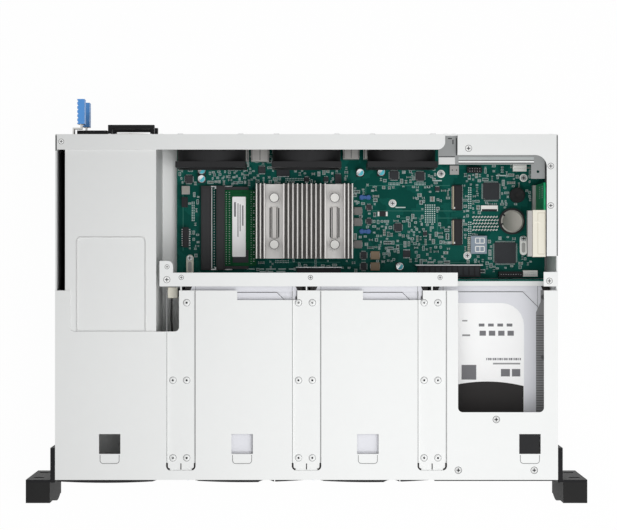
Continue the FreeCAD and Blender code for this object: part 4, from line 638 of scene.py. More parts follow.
# Place and radius of each flat screw
RAIL_SCREWS = {
    "strip": (-210.7, 290.7, 2.0),
    "corner": (139.2, 284.8, 2.6),
    "arm_rear": (209.8, 269.6, 2.4),
    "arm_front": (209.8, 235.7, 2.4),
    "tab_rear": (-119.8, 183.1, 1.7),
    "tab_front": (-120.0, 172.0, 2.6),
    "bar_left": (-107.6, 173.9, 1.8),
    "bar_middle": (3.4, 173.9, 1.8),
    "bar_right": (114.7, 173.9, 1.8),
    "wall_tab": (208.6, 170.9, 2.4),
}
SCREW_PROUD = 0.25
# How far the rings of painted shade reach beyond each flat screw, and on either side of each cover screw's
# edge
SCREW_RIM = 0.35
COVER_RIM = 0.2
# Shares of the radius, for the cross of painted shade on each cover screw
COVER_CROSS = (1.1, 0.3)


def cover_rivets():
    """Pull rivets along the three channels, each a low dome with a sunk core and a ring round it, both
    painted dark as shade.
    """
    piece = Piece("cover_rivets")
    for column in COLUMNS:
        for row, y in enumerate(RIVET_ROWS):
            for side, shift in enumerate(RIVET_SIDES):
                rivet = (column, row, side)
                if rivet == NO_RIVET:
                    continue
                place = (column + shift, y, CHANNEL_FLOOR)
                # Core and ring are painted shade, lighter in a rivet without a hole
                core = SHADE_AND_PRINT_GREY if rivet in CLOSED_RIVETS else PAINTED_SHADE
                piece.turned(PAINT, place, RIVET_DOME, caps=(True, False))
                piece.turned(core, place, RIVET_CORE, caps=(False, True))
                piece.disc(SHADE_AND_PRINT_GREY, place, RIVET_RING, MARK_T)
    piece.done()


def rail_screws():
    """Flat screws of the rear rails and the crossbar on rings of painted shade, and rings and crosses of
    painted shade on the screws in the cover.
    """
    piece = Piece("rail_screws")
    for x, y, radius in RAIL_SCREWS.values():
        piece.disc(PAINTED_SHADE, (x, y, TOP), radius + SCREW_RIM, MARK_T)
        piece.screw((x, y, TOP), radius, SCREW_PROUD)
    for _, low, high in solids("cover_screws"):
        middle = ((low.x + high.x) / 2, (low.y + high.y) / 2, TOP)
        radius = (high.x - low.x) / 2
        outer = radius + COVER_RIM
        inner = radius - COVER_RIM
        ring = ((outer, 0.0), (outer, MARK_T), (inner, MARK_T), (inner, 0.0))
        piece.turned(PAINTED_SHADE, middle, ring, caps=(False, False))
        for turn in (0.0, QUARTER):
            piece.block(PAINTED_SHADE, middle, (COVER_CROSS[0] * radius, COVER_CROSS[1] * radius, MARK_T), turn=turn)
    piece.done()


VENTS = {"first": -169.1, "second": -55.3, "third": 52.7, "fourth": 191.9}
VENT_FRONT = 22.3
TAB_HALF = 8.2
TAB_GAP = 1.0
TAB_BEND = 5.6
TAB_R = 2.6
TAB_BEAD = 0.4
BEAD_SUNK = 0.2
SLIT_X = 11.9
SLIT_BEND = 11.4
SLIT_R = 2.5
SLIT_BEAD = 0.85
KEY_SLIT = (0.9, 5.2, 0.08)
# Lines of painted shade along the channel walls
SEAM_X = 12.1
SEAM_W = 0.6
SEAM_FRONT = 14.4
SEAM_REAR = 162.0


def cover_tabs():
    """Pressed U-shaped ribs in front of the square vents and the lanced corners of the channels, all drawn in
    painted shade, with lines of painted shade along the channel walls.
    """
    ribs = Piece("cover_tab_ribs", "painted_steel")
    for x in VENTS.values():
        route = [(x - TAB_HALF, VENT_FRONT - TAB_GAP), (x - TAB_HALF, VENT_FRONT - TAB_BEND)]
        route += bend(x - TAB_HALF + TAB_R, VENT_FRONT - TAB_BEND, 2, TAB_R)
        ribs.trace(SHADE_AND_PRINT_GREY, route + mirror(route, x)[::-1], TOP - BEAD_SUNK, TAB_BEAD, 10)
    ribs.done()
    slits = Piece("channel_slits", "black_plastic")
    for column in COLUMNS:
        route = [(column + SLIT_X, SEAM_FRONT), (column + SLIT_X, SLIT_BEND)]
        route += bend(column + SLIT_X - SLIT_R, SLIT_BEND, 3, SLIT_R, 4)[::-1]
        # The slits are black lines of painted shade
        for line in (mirror(route, column), route):
            slits.trace(LABEL_BLACK_AND_SHADE, line, CHANNEL_FLOOR - BEAD_SUNK, SLIT_BEAD)
        slits.block(LABEL_BLACK_AND_SHADE, (column, SLIT_BEND, CHANNEL_FLOOR), KEY_SLIT)
        for side in BOTH:
            slits.block(SHADE_AND_PRINT_GREY, (column + side * SEAM_X, (SEAM_FRONT + SEAM_REAR) / 2, CHANNEL_FLOOR),
                        (SEAM_W, SEAM_REAR - SEAM_FRONT, MARK_T))
    slits.done()


PRESS_LEFT = -197.5
PRESS_RIGHT = -138.3
PRESS_REAR = 208.7
CUTOUT_LEFT = -203.2
CUTOUT_FRONT = 127.4
CORNER_R = 4.0
PANEL_BEAD = 0.7
NOTCH_SUNK = 0.4
NOTCH_BEAD = 0.35
# x, front end, rear end and height of the line of painted shade along each wall
WALL_LINES = {"right": (215.3, 192.4, 296.0, TOP), "left": (-215.3, 282.8, 296.0, span("chassis_tray")[1].z)}
WALL_LINE = (0.9, 0.04)
STRIP_D = 13.3
STRIP_SHORT = 1.0
STRIP_LINE = (0.6, 0.2)


def pressed_edge_shading():
    """Painted shade along the edges of the panel pressed into the supply cage, of the cover round it and of
    the rear strip, and along the walls.
    """
    piece = Piece("pressed_edge_shading", "painted_steel")
    low, high = span("supply_cage")
    panel = [(PRESS_RIGHT, CUTOUT_FRONT)]
    panel += bend(PRESS_RIGHT - CORNER_R, PRESS_REAR - CORNER_R, 0, CORNER_R)
    panel += bend(PRESS_LEFT + CORNER_R, PRESS_REAR - CORNER_R, 1, CORNER_R)
    panel.append((PRESS_LEFT, CUTOUT_FRONT))
    piece.trace(EDGE_SHADE, panel, high.z - BEAD_SUNK, PANEL_BEAD)
    notch = [(CUTOUT_LEFT, span("front_top_cover")[1].y)]
    notch += bend(CUTOUT_LEFT + CORNER_R, CUTOUT_FRONT + CORNER_R, 2, CORNER_R)
    notch.append((high.x, CUTOUT_FRONT))
    piece.trace(EDGE_SHADE, notch, TOP - NOTCH_SUNK, NOTCH_BEAD)
    for x, front, rear, z in WALL_LINES.values():
        piece.block(PAINTED_SHADE, (x, (front + rear) / 2, z), (WALL_LINE[0], rear - front, WALL_LINE[1]))
    strip = ((low.x + high.x) / 2, span("rear_panel")[1].y - STRIP_D, high.z)
    piece.block(EDGE_SHADE, strip, (high.x - low.x - STRIP_SHORT, *STRIP_LINE))
    piece.done()


# Finish, middle and depth of each band of painted shade, with a white strip between, along the shelf's folds
SHELF_SHADE_BANDS = ((SOLDER_AND_SHADE, 276.3, 2.6), (PAINTED_SHADE, 274.75, 0.7), (PAINT, 273.6, 1.5), (PAINTED_SHADE, 272.5, 0.7))
SHELF_BANDS_X = 163.5
SHELF_BANDS_RUN = 65.0
# The gap plate, the clip's lip and its shadow are painted in shade
SHELF_PARTS = {
    "gap_plate": (SHELF_SHADE, (117.3, 283.5, SHELF_TOP - 1.0), (7.4, 24.6, 1.0)),
    "clip_lip": (EDGE_SHADE, (120.9, 274.4, SHELF_TOP), (14.0, 6.0, 0.4), 0.1),
    "clip_shadow": (PAINTED_SHADE, (120.9, 277.9, SHELF_TOP), (14.0, 0.6, 0.2)),
}
# Slots in the clip, painted dark as shade
CLIP_SLOTS = {
    "cross": ((123.6, 293.6), (3.6, 1.0, 0.1)),
    "short": ((126.2, 290.6), (1.0, 4.0, 0.1)),
    "long": ((129.2, 286.5), (0.9, 15.0, 0.1)),
}
CLIP_SLOT_R = 0.4


def shelf_details():
    """Bands of painted shade along the folds of the card shelf, and the clip plate that fills the gap beside
    it, with its lip, shadow and slots painted in shade.
    """
    piece = Piece("card_shelf_details")
    for tint, y, deep in SHELF_SHADE_BANDS:
        piece.block(tint, (SHELF_BANDS_X, y, SHELF_TOP), (SHELF_BANDS_RUN, deep, MARK_T))
    piece.blocks(SHELF_PARTS)
    for spot, size in CLIP_SLOTS.values():
        piece.plate(PAINTED_SHADE, (*spot, SHELF_TOP), size, CLIP_SLOT_R)
    piece.done()


LINING_Y = 223.25
LINING_RUN = 119.5
LINING_T = 0.5
LINING_LOW = 4.0
WALL_T = 1.2
WALL_OUT = 0.3
CAGE_OUT = 0.35
FLOOR_TOP = 1.25
FLOOR_LESS = 1.0


def wall_lining():
    """Dark sheet on the left wall, the floor and the side of the supply cage."""
    piece = Piece("wall_lining", "black_plastic")
    wall = span("chassis_tray")[0].x + WALL_T
    cage = span("supply_cage")[0].x
    sheets = {
        "wall": (wall + WALL_OUT, LINING_LOW, LINING_T, 74.0),
        "floor": ((wall + cage) / 2, FLOOR_TOP, cage - wall - FLOOR_LESS, LINING_T),
        "cage": (cage - CAGE_OUT, LINING_LOW, LINING_T, 78.0),
    }
    for x, z, wide, tall in sheets.values():
        piece.block(LINING, (x, LINING_Y, z), (wide, LINING_RUN, tall), FINE)
    piece.done()


LEAD_PARTS = {
    "plug": (CREAM, (-116.1, 160.6, 58.0), (8.6, 9.4, 12.0), 0.4),
    "plug_seat": (BLACK, (-110.4, 160.6, 60.0), (3.2, 7.0, 8.0), 0.3),
    "grommet": (BLACK, (-110.1, 116.0, 53.5), (2.6, 5.0, 5.0), 0.3),
}
LEAD_ROUTE = ((-117.3, 156.2, 64.0), (-117.5, 150.0, 63.6), (-117.9, 138.0, 60.0), (-117.3, 126.0, 57.4),
              (-114.3, 118.6, 56.2), (-110.1, 116.0, 56.0))
LEAD_R = 0.9


def gap_lead():
    """Plug on the left divider, seen through the cut-out of the cover, and its lead to a grommet there."""
    piece = Piece("gap_lead", "black_plastic")
    piece.blocks(LEAD_PARTS)
    piece.tube(RUBBER, LEAD_ROUTE, LEAD_R)
    piece.done()


# Drives

LABEL_FRONT = 44.0
LABEL_REAR = 151.1
LABEL_LEFT = -36.0
LABEL_RIGHT = 29.6
LABEL_CORNERS = (20.0, 3.0, 3.0, 3.0)
LABEL_T = 0.12
PRINT_T = 0.15
BAND_TOP = 78.0
BAND_BOW = 4.0
BAND_IN = 0.4
BAND_CROP = 3.0
BAND_STEPS = 14
MARKS_LEFT = -27.8
# Finish, middle from the marks' left edge and the label's rear edge, width and depth of each printed bar
LABEL_MARKS = [(SHADE_AND_PRINT_GREY, 5.2, 15.6, 4.6, 1.2), (SHADE_AND_PRINT_GREY, 6.4, 28.4, 7.0, 1.6), (SHADE_AND_PRINT_GREY, 42.0, 53.4, 24.0, 1.4),
               (LABEL_GREY, 41.0, 61.4, 8.0, 6.6), (LABEL_GREY, 50.4, 61.4, 7.4, 6.6),
               (LABEL_GREY, 8.8, 61.0, 13.0, 13.0)]
LABEL_MARKS += [(LABEL_GREY, 20.0 + 8.2 * step, 19.4, 5.0, 2.6) for step in range(4)]
LABEL_MARKS += [(LABEL_GREY, 21.0 + 8.2 * step, 26.6, 5.6, 4.4) for step in range(4)]
LABEL_MARKS += [(LABEL_GREY, 24.4 + 1.56 * step, 49.4, 0.7 + 0.35 * (step % 3), 2.0) for step in range(20)]
LID_LIFT = 0.06
LID_T = 1.0
LID_SIDE = 9.3
LID_REAR = 6.2
LID_CROP = 13.0
LID_OVER = 0.3
LID_SEAM = 0.3
SEAM_OUT = 0.1
REAR_LEDGE = 5.8
FRONT_LEDGE = 3.8
FRONT_LEDGE_Y = 2.0
RAIL_OVER = 1.4
RAIL_OUT = 9.0
RAIL_LIFT = 0.05
RAIL_START = 0.4
RAIL_SHORT = 4.6
RAIL_BEND = 15.1
RAIL_FULL = 24.0
RAIL_CLEAR = {"upper": 3.9, "lower": 2.8}
CORNER_BLOCK = (8.7, 23.4, LID_LIFT)
RIB_PITCH = 2.2
RIB_START = 0.6
RIB = (10.1, 0.7, 0.04)
CLIP_WIDE = 6.5
CLIP_NARROW = 4.6
CLIP_IN = 0.3
LID_SCREW_X = 46.6
LID_SCREW_FRONT = 8.0
LID_SCREWS = (103.5, 156.4)
LID_SCREW = (2.3, 0.35)


def handed(points, half, side):
    """Outline given outwards from a half width, on the left or the right side."""
    return [(side * (half + u), v) for u, v in points][::side]


def drive_label(bay):
    """Paper label with a dark band and plain bars, the lid's edges with a line of painted shade along them,
    and the ribbed side rails.
    """
    low, high = span(f"{bay}_drive")
    middle = (low.x + high.x) / 2
    piece = Piece(f"{bay}_drive_label", "drive_metal", f"{bay}_carrier")
    wide = LABEL_RIGHT - LABEL_LEFT
    deep = LABEL_REAR - LABEL_FRONT
    centre = (middle + (LABEL_LEFT + LABEL_RIGHT) / 2, (LABEL_FRONT + LABEL_REAR) / 2, high.z)
    piece.prism(LABEL, centre, rounded(wide, deep, LABEL_CORNERS), LABEL_T)
    half = wide / 2 - BAND_IN
    flat = wide / 2 - BAND_CROP
    front = -deep / 2
    band = [(-half, front + BAND_CROP), (-flat, front + BAND_IN), (flat, front + BAND_IN),
            (half, front + BAND_CROP)]
    for step in range(BAND_STEPS + 1):
        share = 1 - 2 * step / BAND_STEPS
        band.append((share * half, BAND_TOP - centre[1] + BAND_BOW * (1 - share * share)))
    piece.prism(LABEL_BLACK_AND_SHADE, centre, band, PRINT_T)
    for tint, u, v, bar_w, bar_d in LABEL_MARKS:
        piece.block(tint, (middle + MARKS_LEFT + u, LABEL_REAR - v, high.z), (bar_w, bar_d, PRINT_T))
    lid_half = high.x - LID_SIDE - middle
    lid_right = middle + lid_half
    lid_rear = high.y - LID_REAR
    ledge = high.z - LID_T
    for y, deep in ((high.y - LID_REAR / 2, REAR_LEDGE), (low.y + FRONT_LEDGE_Y, FRONT_LEDGE)):
        piece.block(LID, (middle, y, ledge), (2 * lid_half, deep, LID_LIFT))
    crop = [(0.0, LID_OVER), (-LID_CROP, LID_OVER), (0.0, LID_OVER - LID_CROP)]
    piece.prism(LID, (lid_right, lid_rear, ledge), crop, LID_LIFT)
    seam = [(middle - lid_half, lid_rear + SEAM_OUT), (lid_right - LID_CROP, lid_rear + SEAM_OUT),
            (lid_right + SEAM_OUT, lid_rear - LID_CROP)]
    # Line of painted shade along the lid's rear edge and its cropped corner
    piece.trace(PAINTED_SHADE, seam, high.z - BEAD_SUNK, LID_SEAM, 6)
    clear_of = RAIL_CLEAR[bay.split("_")[0]]
    rail_front = low.y + RAIL_START
    rail_rear = high.y - RAIL_SHORT
    rail = [(-RAIL_OVER, rail_front), (RAIL_OUT, rail_front), (RAIL_OUT, rail_rear), (clear_of, rail_rear),
            (clear_of, high.y - RAIL_BEND), (-RAIL_OVER, high.y - RAIL_FULL)]
    clip = [(-CLIP_NARROW, -RAIL_SHORT), (-CLIP_IN, -RAIL_SHORT), (-CLIP_IN, -CLIP_IN),
            (-CLIP_WIDE, -CLIP_IN)]
    for side in BOTH:
        corner_x = middle + side * (lid_half + LID_SIDE / 2)
        rib_x = middle + side * (lid_half + (RAIL_OUT - RAIL_OVER) / 2)
        piece.block(LID, (corner_x, high.y - RAIL_FULL / 2, ledge), CORNER_BLOCK)
        piece.prism(RAIL, (middle, 0, ledge), handed(rail, lid_half, side), LID_T + RAIL_LIFT)
        piece.prism(LABEL_BLACK_AND_SHADE, (middle, high.y, ledge), handed(clip, high.x - middle, side), 2 * LID_LIFT)
        for step in range(int((high.y - low.y - RAIL_FULL) / RIB_PITCH)):
            piece.block(CAST, (rib_x, low.y + (step + RIB_START) * RIB_PITCH, high.z + RAIL_LIFT), RIB)
        for y in (low.y + LID_SCREW_FRONT, *LID_SCREWS):
            piece.screw((middle + side * LID_SCREW_X, y, high.z + RAIL_LIFT), *LID_SCREW, material=CAST)
    piece.done()


# Mainboard: places are counted from its left front corner

BOARD_NODES = ("board_sockets", "board_chips", "power_components", "battery", "board_indicators", "riser",
               "heatsink", "memory_module")
# Only what starts below this height takes up room on the board
LOW_PART = 6.0
PART_GAP = 0.25
taken = []


def edges(u, v, half_u, half_v, margin=0.0):
    """Left, front, right and rear edge of a rectangle."""
    return u - half_u - margin, v - half_v - margin, u + half_u + margin, v + half_v + margin


def reserve(*place):
    """Take a rectangle of the board."""
    taken.append(edges(*place))


def clear(*place):
    """Whether a rectangle of the board is free; a free one is then taken."""
    left, front, right, rear = edges(*place)
    for other in taken:
        if left < other[2] and right > other[0] and front < other[3] and rear > other[1]:
            return False
    reserve(*place)
    return True


for name in BOARD_NODES:
    for _, low, high in solids(name):
        if low.z < board_high.z + LOW_PART:
            left_front = (low.x - board_low.x, low.y - board_low.y)
            taken.append((*left_front, high.x - board_low.x, high.y - board_low.y))

BOARD_SCREWS = {
    "middle": (192.9, 67.1),
    "rear": (236.3, 93.5),
    "right_rear": (310.1, 89.9),
    "front": (259.8, 20.4),
}
BARE_RING = (3.5, 0.06)
BOARD_SCREW = (2.5, 1.5)
# Half width and half depth kept free round a part, here and in the other rooms below
SCREW_ROOM = (3.8, 3.8)
# Middle, where the screw stands and finish
OVAL_PADS = {"left": (11.6, 12.4, 18.3, CREAM), "right": (310.0, 29.6, 35.6, NYLON)}
PAD = (6.6, 17.6, 0.5)
PAD_R = 3.25
PAD_ROOM = (3.6, 9.2)
PAD_SLOT = (3.2, 9.0, 0.52)
PAD_SLOT_R = PAD_SLOT[0] / 2.1
PAD_SLOT_BACK = 2.0
PAD_SCREW = (2.6, 1.4)
PAD_SCREW_LOW = 0.45


def board_screws():
    """Pan-head screws on their bare rings, and two long grounding pads."""
    piece = Piece("board_screws", place=on_board)
    for u, v in BOARD_SCREWS.values():
        piece.disc(NYLON, (u, v), *BARE_RING)
        piece.screw((u, v, MARK_T), *BOARD_SCREW, material=TIN)
        reserve(u, v, *SCREW_ROOM)
    for u, v, screw_v, tint in OVAL_PADS.values():
        piece.plate(tint, (u, v), PAD, PAD_R, FINE)
        piece.plate(GREY, (u, v - PAD_SLOT_BACK), PAD_SLOT, PAD_SLOT_R)
        piece.screw((u, screw_v, PAD_SCREW_LOW), *PAD_SCREW, material=TIN)
        reserve(u, v, *PAD_ROOM)
    piece.done()


CHIP_WIDEST = 30.0
CHIP_BIG = 10.0
CHIP_IN = 0.5
CHIP_TOP_T = 0.10
CHIP_BEVEL = 0.06
DOT_IN = 1.1
DOT_R = 0.6
# Pitch and reach of the leads
BIG_LEADS = (0.8, 1.5)
SMALL_LEADS = (0.65, 0.9)
LEAD_FREE = 1.2
LEAD_W = 0.32
LEAD_T = 0.22
LEAD_UNDER = 0.1
SEATED = 0.02


def chip_leads():
    """Leads round every chip but the widest, its flat top and a dot at one corner."""
    piece = Piece("chip_leads", "component_metal", place=on_board)
    for _, low, high in solids("board_chips"):
        u, v = middle_on_board(low, high)
        wide, deep, tall = high - low
        if wide > CHIP_WIDEST:
            continue
        piece.block(EPOXY, (u, v, tall - SEATED), (wide - CHIP_IN, deep - CHIP_IN, CHIP_TOP_T), CHIP_BEVEL)
        dot = (u - wide / 2 + DOT_IN, v - deep / 2 + DOT_IN, tall + MARK_T)
        piece.disc(LASER, dot, DOT_R, MARK_T, sides=14)
        pitch, reach = BIG_LEADS if wide > CHIP_BIG else SMALL_LEADS
        for turn, along, beyond in ((0, wide, deep), (QUARTER, deep, wide)):
            for shift in spread(int((along - LEAD_FREE) / pitch), pitch):
                for side in BOTH:
                    piece.block(SOLDER_AND_SHADE, (u, v, SEATED), (LEAD_W, reach, LEAD_T), turn=turn,
                                shift=(shift, side * (beyond / 2 + reach / 2 - LEAD_UNDER), 0))
        reserve(u, v, wide / 2, deep / 2, reach)
    piece.done()


CAN_HALF = 3.6
CAN_CROP = 1.2
CAN_BASE = [(-CAN_HALF, -CAN_HALF), (CAN_HALF - CAN_CROP, -CAN_HALF), (CAN_HALF, CAN_CROP - CAN_HALF),
            (CAN_HALF, CAN_HALF - CAN_CROP), (CAN_HALF - CAN_CROP, CAN_HALF), (-CAN_HALF, CAN_HALF)]
CAN_BASE_T = 1.1
CAN_ROOM = (3.8, 3.8)
# How far in from the can's side and how high above its top
CAN_CROWN = ((0.0, -0.3), (0.35, 0.12), (0.7, 0.05))
# Angles round the coloured mark
CAN_MARK = [math.radians(-130 + 10 * step) for step in range(19)]
CAN_MARK_SHARE = 0.86
CAN_MARK_T = 0.14
COIL_IN = 0.6
COIL_LID_T = 0.3
COIL_R = 1.2
TOP_BEVEL = 0.15
COIL_LEG_W = 0.5
COIL_LEG_SHARE = 0.55
COIL_LEG_T = 1.4
COIL_LEG_OUT = 0.1


def can_details():
    """Moulded base, crown and coloured mark of each capacitor, and lids and legs of the coils."""
    piece = Piece("component_details", "component_metal", place=on_board)
    for _, low, high in solids("power_components"):
        u, v = middle_on_board(low, high)
        wide, deep, tall = high - low
        if tall > CAN_SHORTEST:
            radius = wide / 2
            piece.prism(SOCKET, (u, v), CAN_BASE, CAN_BASE_T, TOP_BEVEL)
            piece.turned(CAN, (u, v, tall), [(radius - inwards, out) for inwards, out in CAN_CROWN])
            reach = radius * CAN_MARK_SHARE
            mark = [(reach * math.cos(turn), reach * math.sin(turn)) for turn in CAN_MARK]
            piece.prism(CYAN, (u, v, tall), mark, CAN_MARK_T)
            reserve(u, v, *CAN_ROOM)
        else:
            lid = COPPER_COIL if u > BROWN_LEFT else FERRITE
            size = (wide - COIL_IN, deep - COIL_IN, COIL_LID_T)
            piece.plate(lid, (u, v, tall - MARK_T), size, COIL_R, TOP_BEVEL)
            leg = (COIL_LEG_W, deep * COIL_LEG_SHARE, COIL_LEG_T)
            for side in BOTH:
                piece.block(TIN, (u + side * (wide / 2 + COIL_LEG_OUT), v), leg, FINE)
    piece.done()


BLUE_PARTS = {"rear": (168.3, 72.5), "front": (168.3, 42.0)}
BLUE_BAR = (7.6, 3.2, 2.6)
BLUE_END_X = 3.0
BLUE_END = (2.3, 3.0, 0.5)
BLUE_ROOM = (5.6, 2.8)
DIODE = (184.0, 57.7)
DIODE_SIZE = (5.6, 4.6, 2.3)
DIODE_END = (2.0, 4.0, 1.0)
DIODE_END_X = 3.5
DIODE_EDGES = (179.0, 55.0, 189.0, 60.4)
# Middle, width, depth and height
PACKAGES = ((95.0, 95.0, 11.5, 7.0, 1.2), (76.0, 97.0, 6.4, 6.0, 1.0), (116.0, 88.6, 4.6, 4.0, 1.4),
            (133.4, 88.6, 4.6, 4.0, 1.4), (144.2, 89.0, 5.8, 8.0, 1.8), (222.0, 40.0, 3.6, 3.6, 1.4),
            (233.0, 80.0, 4.2, 3.6, 1.5), (300.0, 62.5, 3.4, 3.4, 1.2), (290.0, 84.0, 4.4, 4.2, 1.3),
            (205.5, 22.0, 6.6, 6.2, 1.2))
PACKAGE_GAP = 0.8
PACKAGE_LOW = 0.15
PACKAGE_LEG = (0.5, 1.0, 0.3)
PACKAGE_LEG_OUT = 0.4
PACKAGE_PITCH = 1.2
# First spot, columns, rows and pitches of the slanted parts
SLANTED = (265.2, 43.4, 9, 5, 2.6, 2.9)
SLANTED_SHIFT = 0.9
SLANTED_TURN = 0.5
SLANTED_BODY = (1.1, 1.2, 0.45)
SLANTED_END = (0.4, 1.25, 0.5)
SLANTED_END_X = 0.72
SLANTED_EDGES = (262.5, 41.0, 289.5, 57.0)


def odd_parts():
    """Blue dog-bone parts, a capped diode, larger packages and rows of slanted parts."""
    piece = Piece("board_odd_parts", "component_metal", place=on_board)
    for u, v in BLUE_PARTS.values():
        piece.plate(BLUE_PART, (u, v), BLUE_BAR, 0.8, 0.4)
        for side in BOTH:
            piece.disc(BLUE_PART, (u + side * BLUE_END_X, v), *BLUE_END)
        reserve(u, v, *BLUE_ROOM)
    piece.plate(SOCKET, DIODE, DIODE_SIZE, 0.6, 0.3)
    for side in BOTH:
        piece.block(NYLON, (DIODE[0] + side * DIODE_END_X, DIODE[1]), DIODE_END, TOP_BEVEL)
    taken.append(DIODE_EDGES)
    for u, v, wide, deep, tall in PACKAGES:
        if clear(u, v, wide / 2 + PACKAGE_GAP, deep / 2 + PACKAGE_GAP):
            piece.block(EPOXY, (u, v, PACKAGE_LOW), (wide, deep, tall), SOFT)
            for shift in spread(max(2, int(wide / PACKAGE_PITCH)), PACKAGE_PITCH):
                for side in BOTH:
                    piece.block(TIN, (u + shift, v + side * (deep / 2 + PACKAGE_LEG_OUT)), PACKAGE_LEG, THIN)
    left, front, columns, rows, pitch_u, pitch_v = SLANTED
    for row in range(rows):
        for column in range(columns):
            spot = (left + column * pitch_u + (row % 2) * SLANTED_SHIFT, front + row * pitch_v)
            piece.block(GREY, spot, SLANTED_BODY, CHIP_BEVEL, turn=SLANTED_TURN)
            for side in BOTH:
                piece.block(NYLON, spot, SLANTED_END, CHIP_BEVEL, turn=SLANTED_TURN,
                            shift=(side * SLANTED_END_X, 0, 0))
    taken.append(SLANTED_EDGES)
    piece.done()


# Length, width and height, and how often each size comes
PASSIVES = {
    "tiny": (1.0, 0.5, 0.4),
    "small": (1.6, 0.8, 0.55),
    "medium": (2.0, 1.25, 0.8),
    "large": (3.2, 1.6, 1.1),
}
SIZE_WEIGHTS = (5, 5, 1.4, 0.4)
ROW_COUNTS = (1, 1, 2, 2, 3, 4)
BODIES = (CERAMIC, RESISTOR, GREY)
BODY_WEIGHTS = (4, 5, 2)
FRAMED_SHARE = 0.6
RASTER = 0.5
ROW_GAP = 0.45
BODY_SHARE = 0.56
CAP_SHARE = 0.24
CAP_PLACE = 0.40
CAP_OVER = (0.06, 0.03)
FRAME_GAP = 0.3
FRAME_OUT = 0.1
FRAME_OVER = 0.4
FRAME_LINE = 0.24
INK_T = 0.03
# Left, front, right and rear edge of each crowded stretch, and how many rows of parts are tried there
STRETCHES = {
    "audio": (2.0, 82.0, 18.5, 101.0, 60),
    "left_edge": (11.0, 20.0, 20.0, 80.0, 36),
    "behind_memory": (29.0, 84.5, 62.0, 101.0, 140),
    "between_fans": (62.0, 85.0, 86.0, 118.0, 110),
    "behind_sink": (88.0, 84.8, 152.0, 100.0, 150),
    "coils": (156.0, 26.0, 180.0, 84.0, 140),
    "network": (182.0, 80.0, 232.0, 101.0, 180),
    "card_power": (212.0, 68.0, 244.0, 82.0, 50),
    "matrix": (219.0, 48.0, 234.0, 68.0, 40),
    "supply_left": (176.0, 14.0, 222.0, 56.0, 330),
    "supply_right": (222.0, 12.0, 244.0, 50.0, 130),
    "cards": (255.5, 30.0, 272.0, 84.0, 110),
    "management": (258.0, 66.0, 318.0, 101.0, 320),
    "battery_side": (286.0, 60.0, 298.0, 72.0, 16),
    "logic": (256.0, 6.0, 318.0, 34.0, 180),
    "front_row": (60.0, 6.0, 160.0, 17.0, 60),
    "edge_right": (288.0, 34.0, 318.0, 40.0, 16),
}
# Middle, columns, rows and pitches of each field of bare pads
FOOTPRINTS = {
    "matrix": (226.5, 58.0, 5, 9, 2.0, 1.9),
    "card_a": (262.0, 72.0, 2, 10, 1.8, 2.0),
    "card_b": (262.0, 41.2, 2, 10, 1.8, 2.0),
    "network_a": (194.2, 84.6, 8, 2, 1.3, 1.5),
    "network_b": (217.5, 84.6, 8, 2, 1.3, 1.5),
    "spare": (33.4, 45.1, 1, 30, 1.6, 2.4),
    "audio": (14.5, 60.0, 2, 12, 1.6, 1.5),
    "sink_rear": (108.0, 88.6, 16, 2, 1.4, 1.5),
    "sink_front": (94.0, 15.0, 9, 2, 1.4, 1.5),
}
PAD_SHARES = (0.55, 0.5)
PAD_T = 0.04
TRACKS = {
    "network": ((169.0, 83.0), (244.0, 83.0)),
    "network_drop": ((169.0, 83.0), (169.0, 76.0)),
    "card_rear": ((174.5, 60.4), (249.0, 60.4)),
    "card_front": ((200.0, 54.0), (250.6, 54.0)),
    "card_link": ((233.0, 57.0), (233.0, 41.0)),
    "supply": ((195.0, 30.4), (244.0, 30.4)),
    "logic": ((222.0, 14.0), (262.0, 14.0)),
    "sink": ((100.0, 14.5), (146.0, 14.5)),
    "left": ((5.5, 25.0), (5.5, 82.0)),
}
TRACK_W = 0.5
# Middle and width
PRINTED_BARS = ((66.0, 8.4, 7.0), (75.0, 8.4, 6.0), (84.0, 8.4, 9.0), (94.0, 8.4, 7.0), (103.0, 8.4, 5.6),
                (80.0, 6.2, 12.0), (93.0, 6.2, 8.0), (200.0, 63.5, 9.0), (233.0, 87.5, 8.0),
                (290.0, 92.0, 9.0))
PRINTED_BAR_D = 0.9


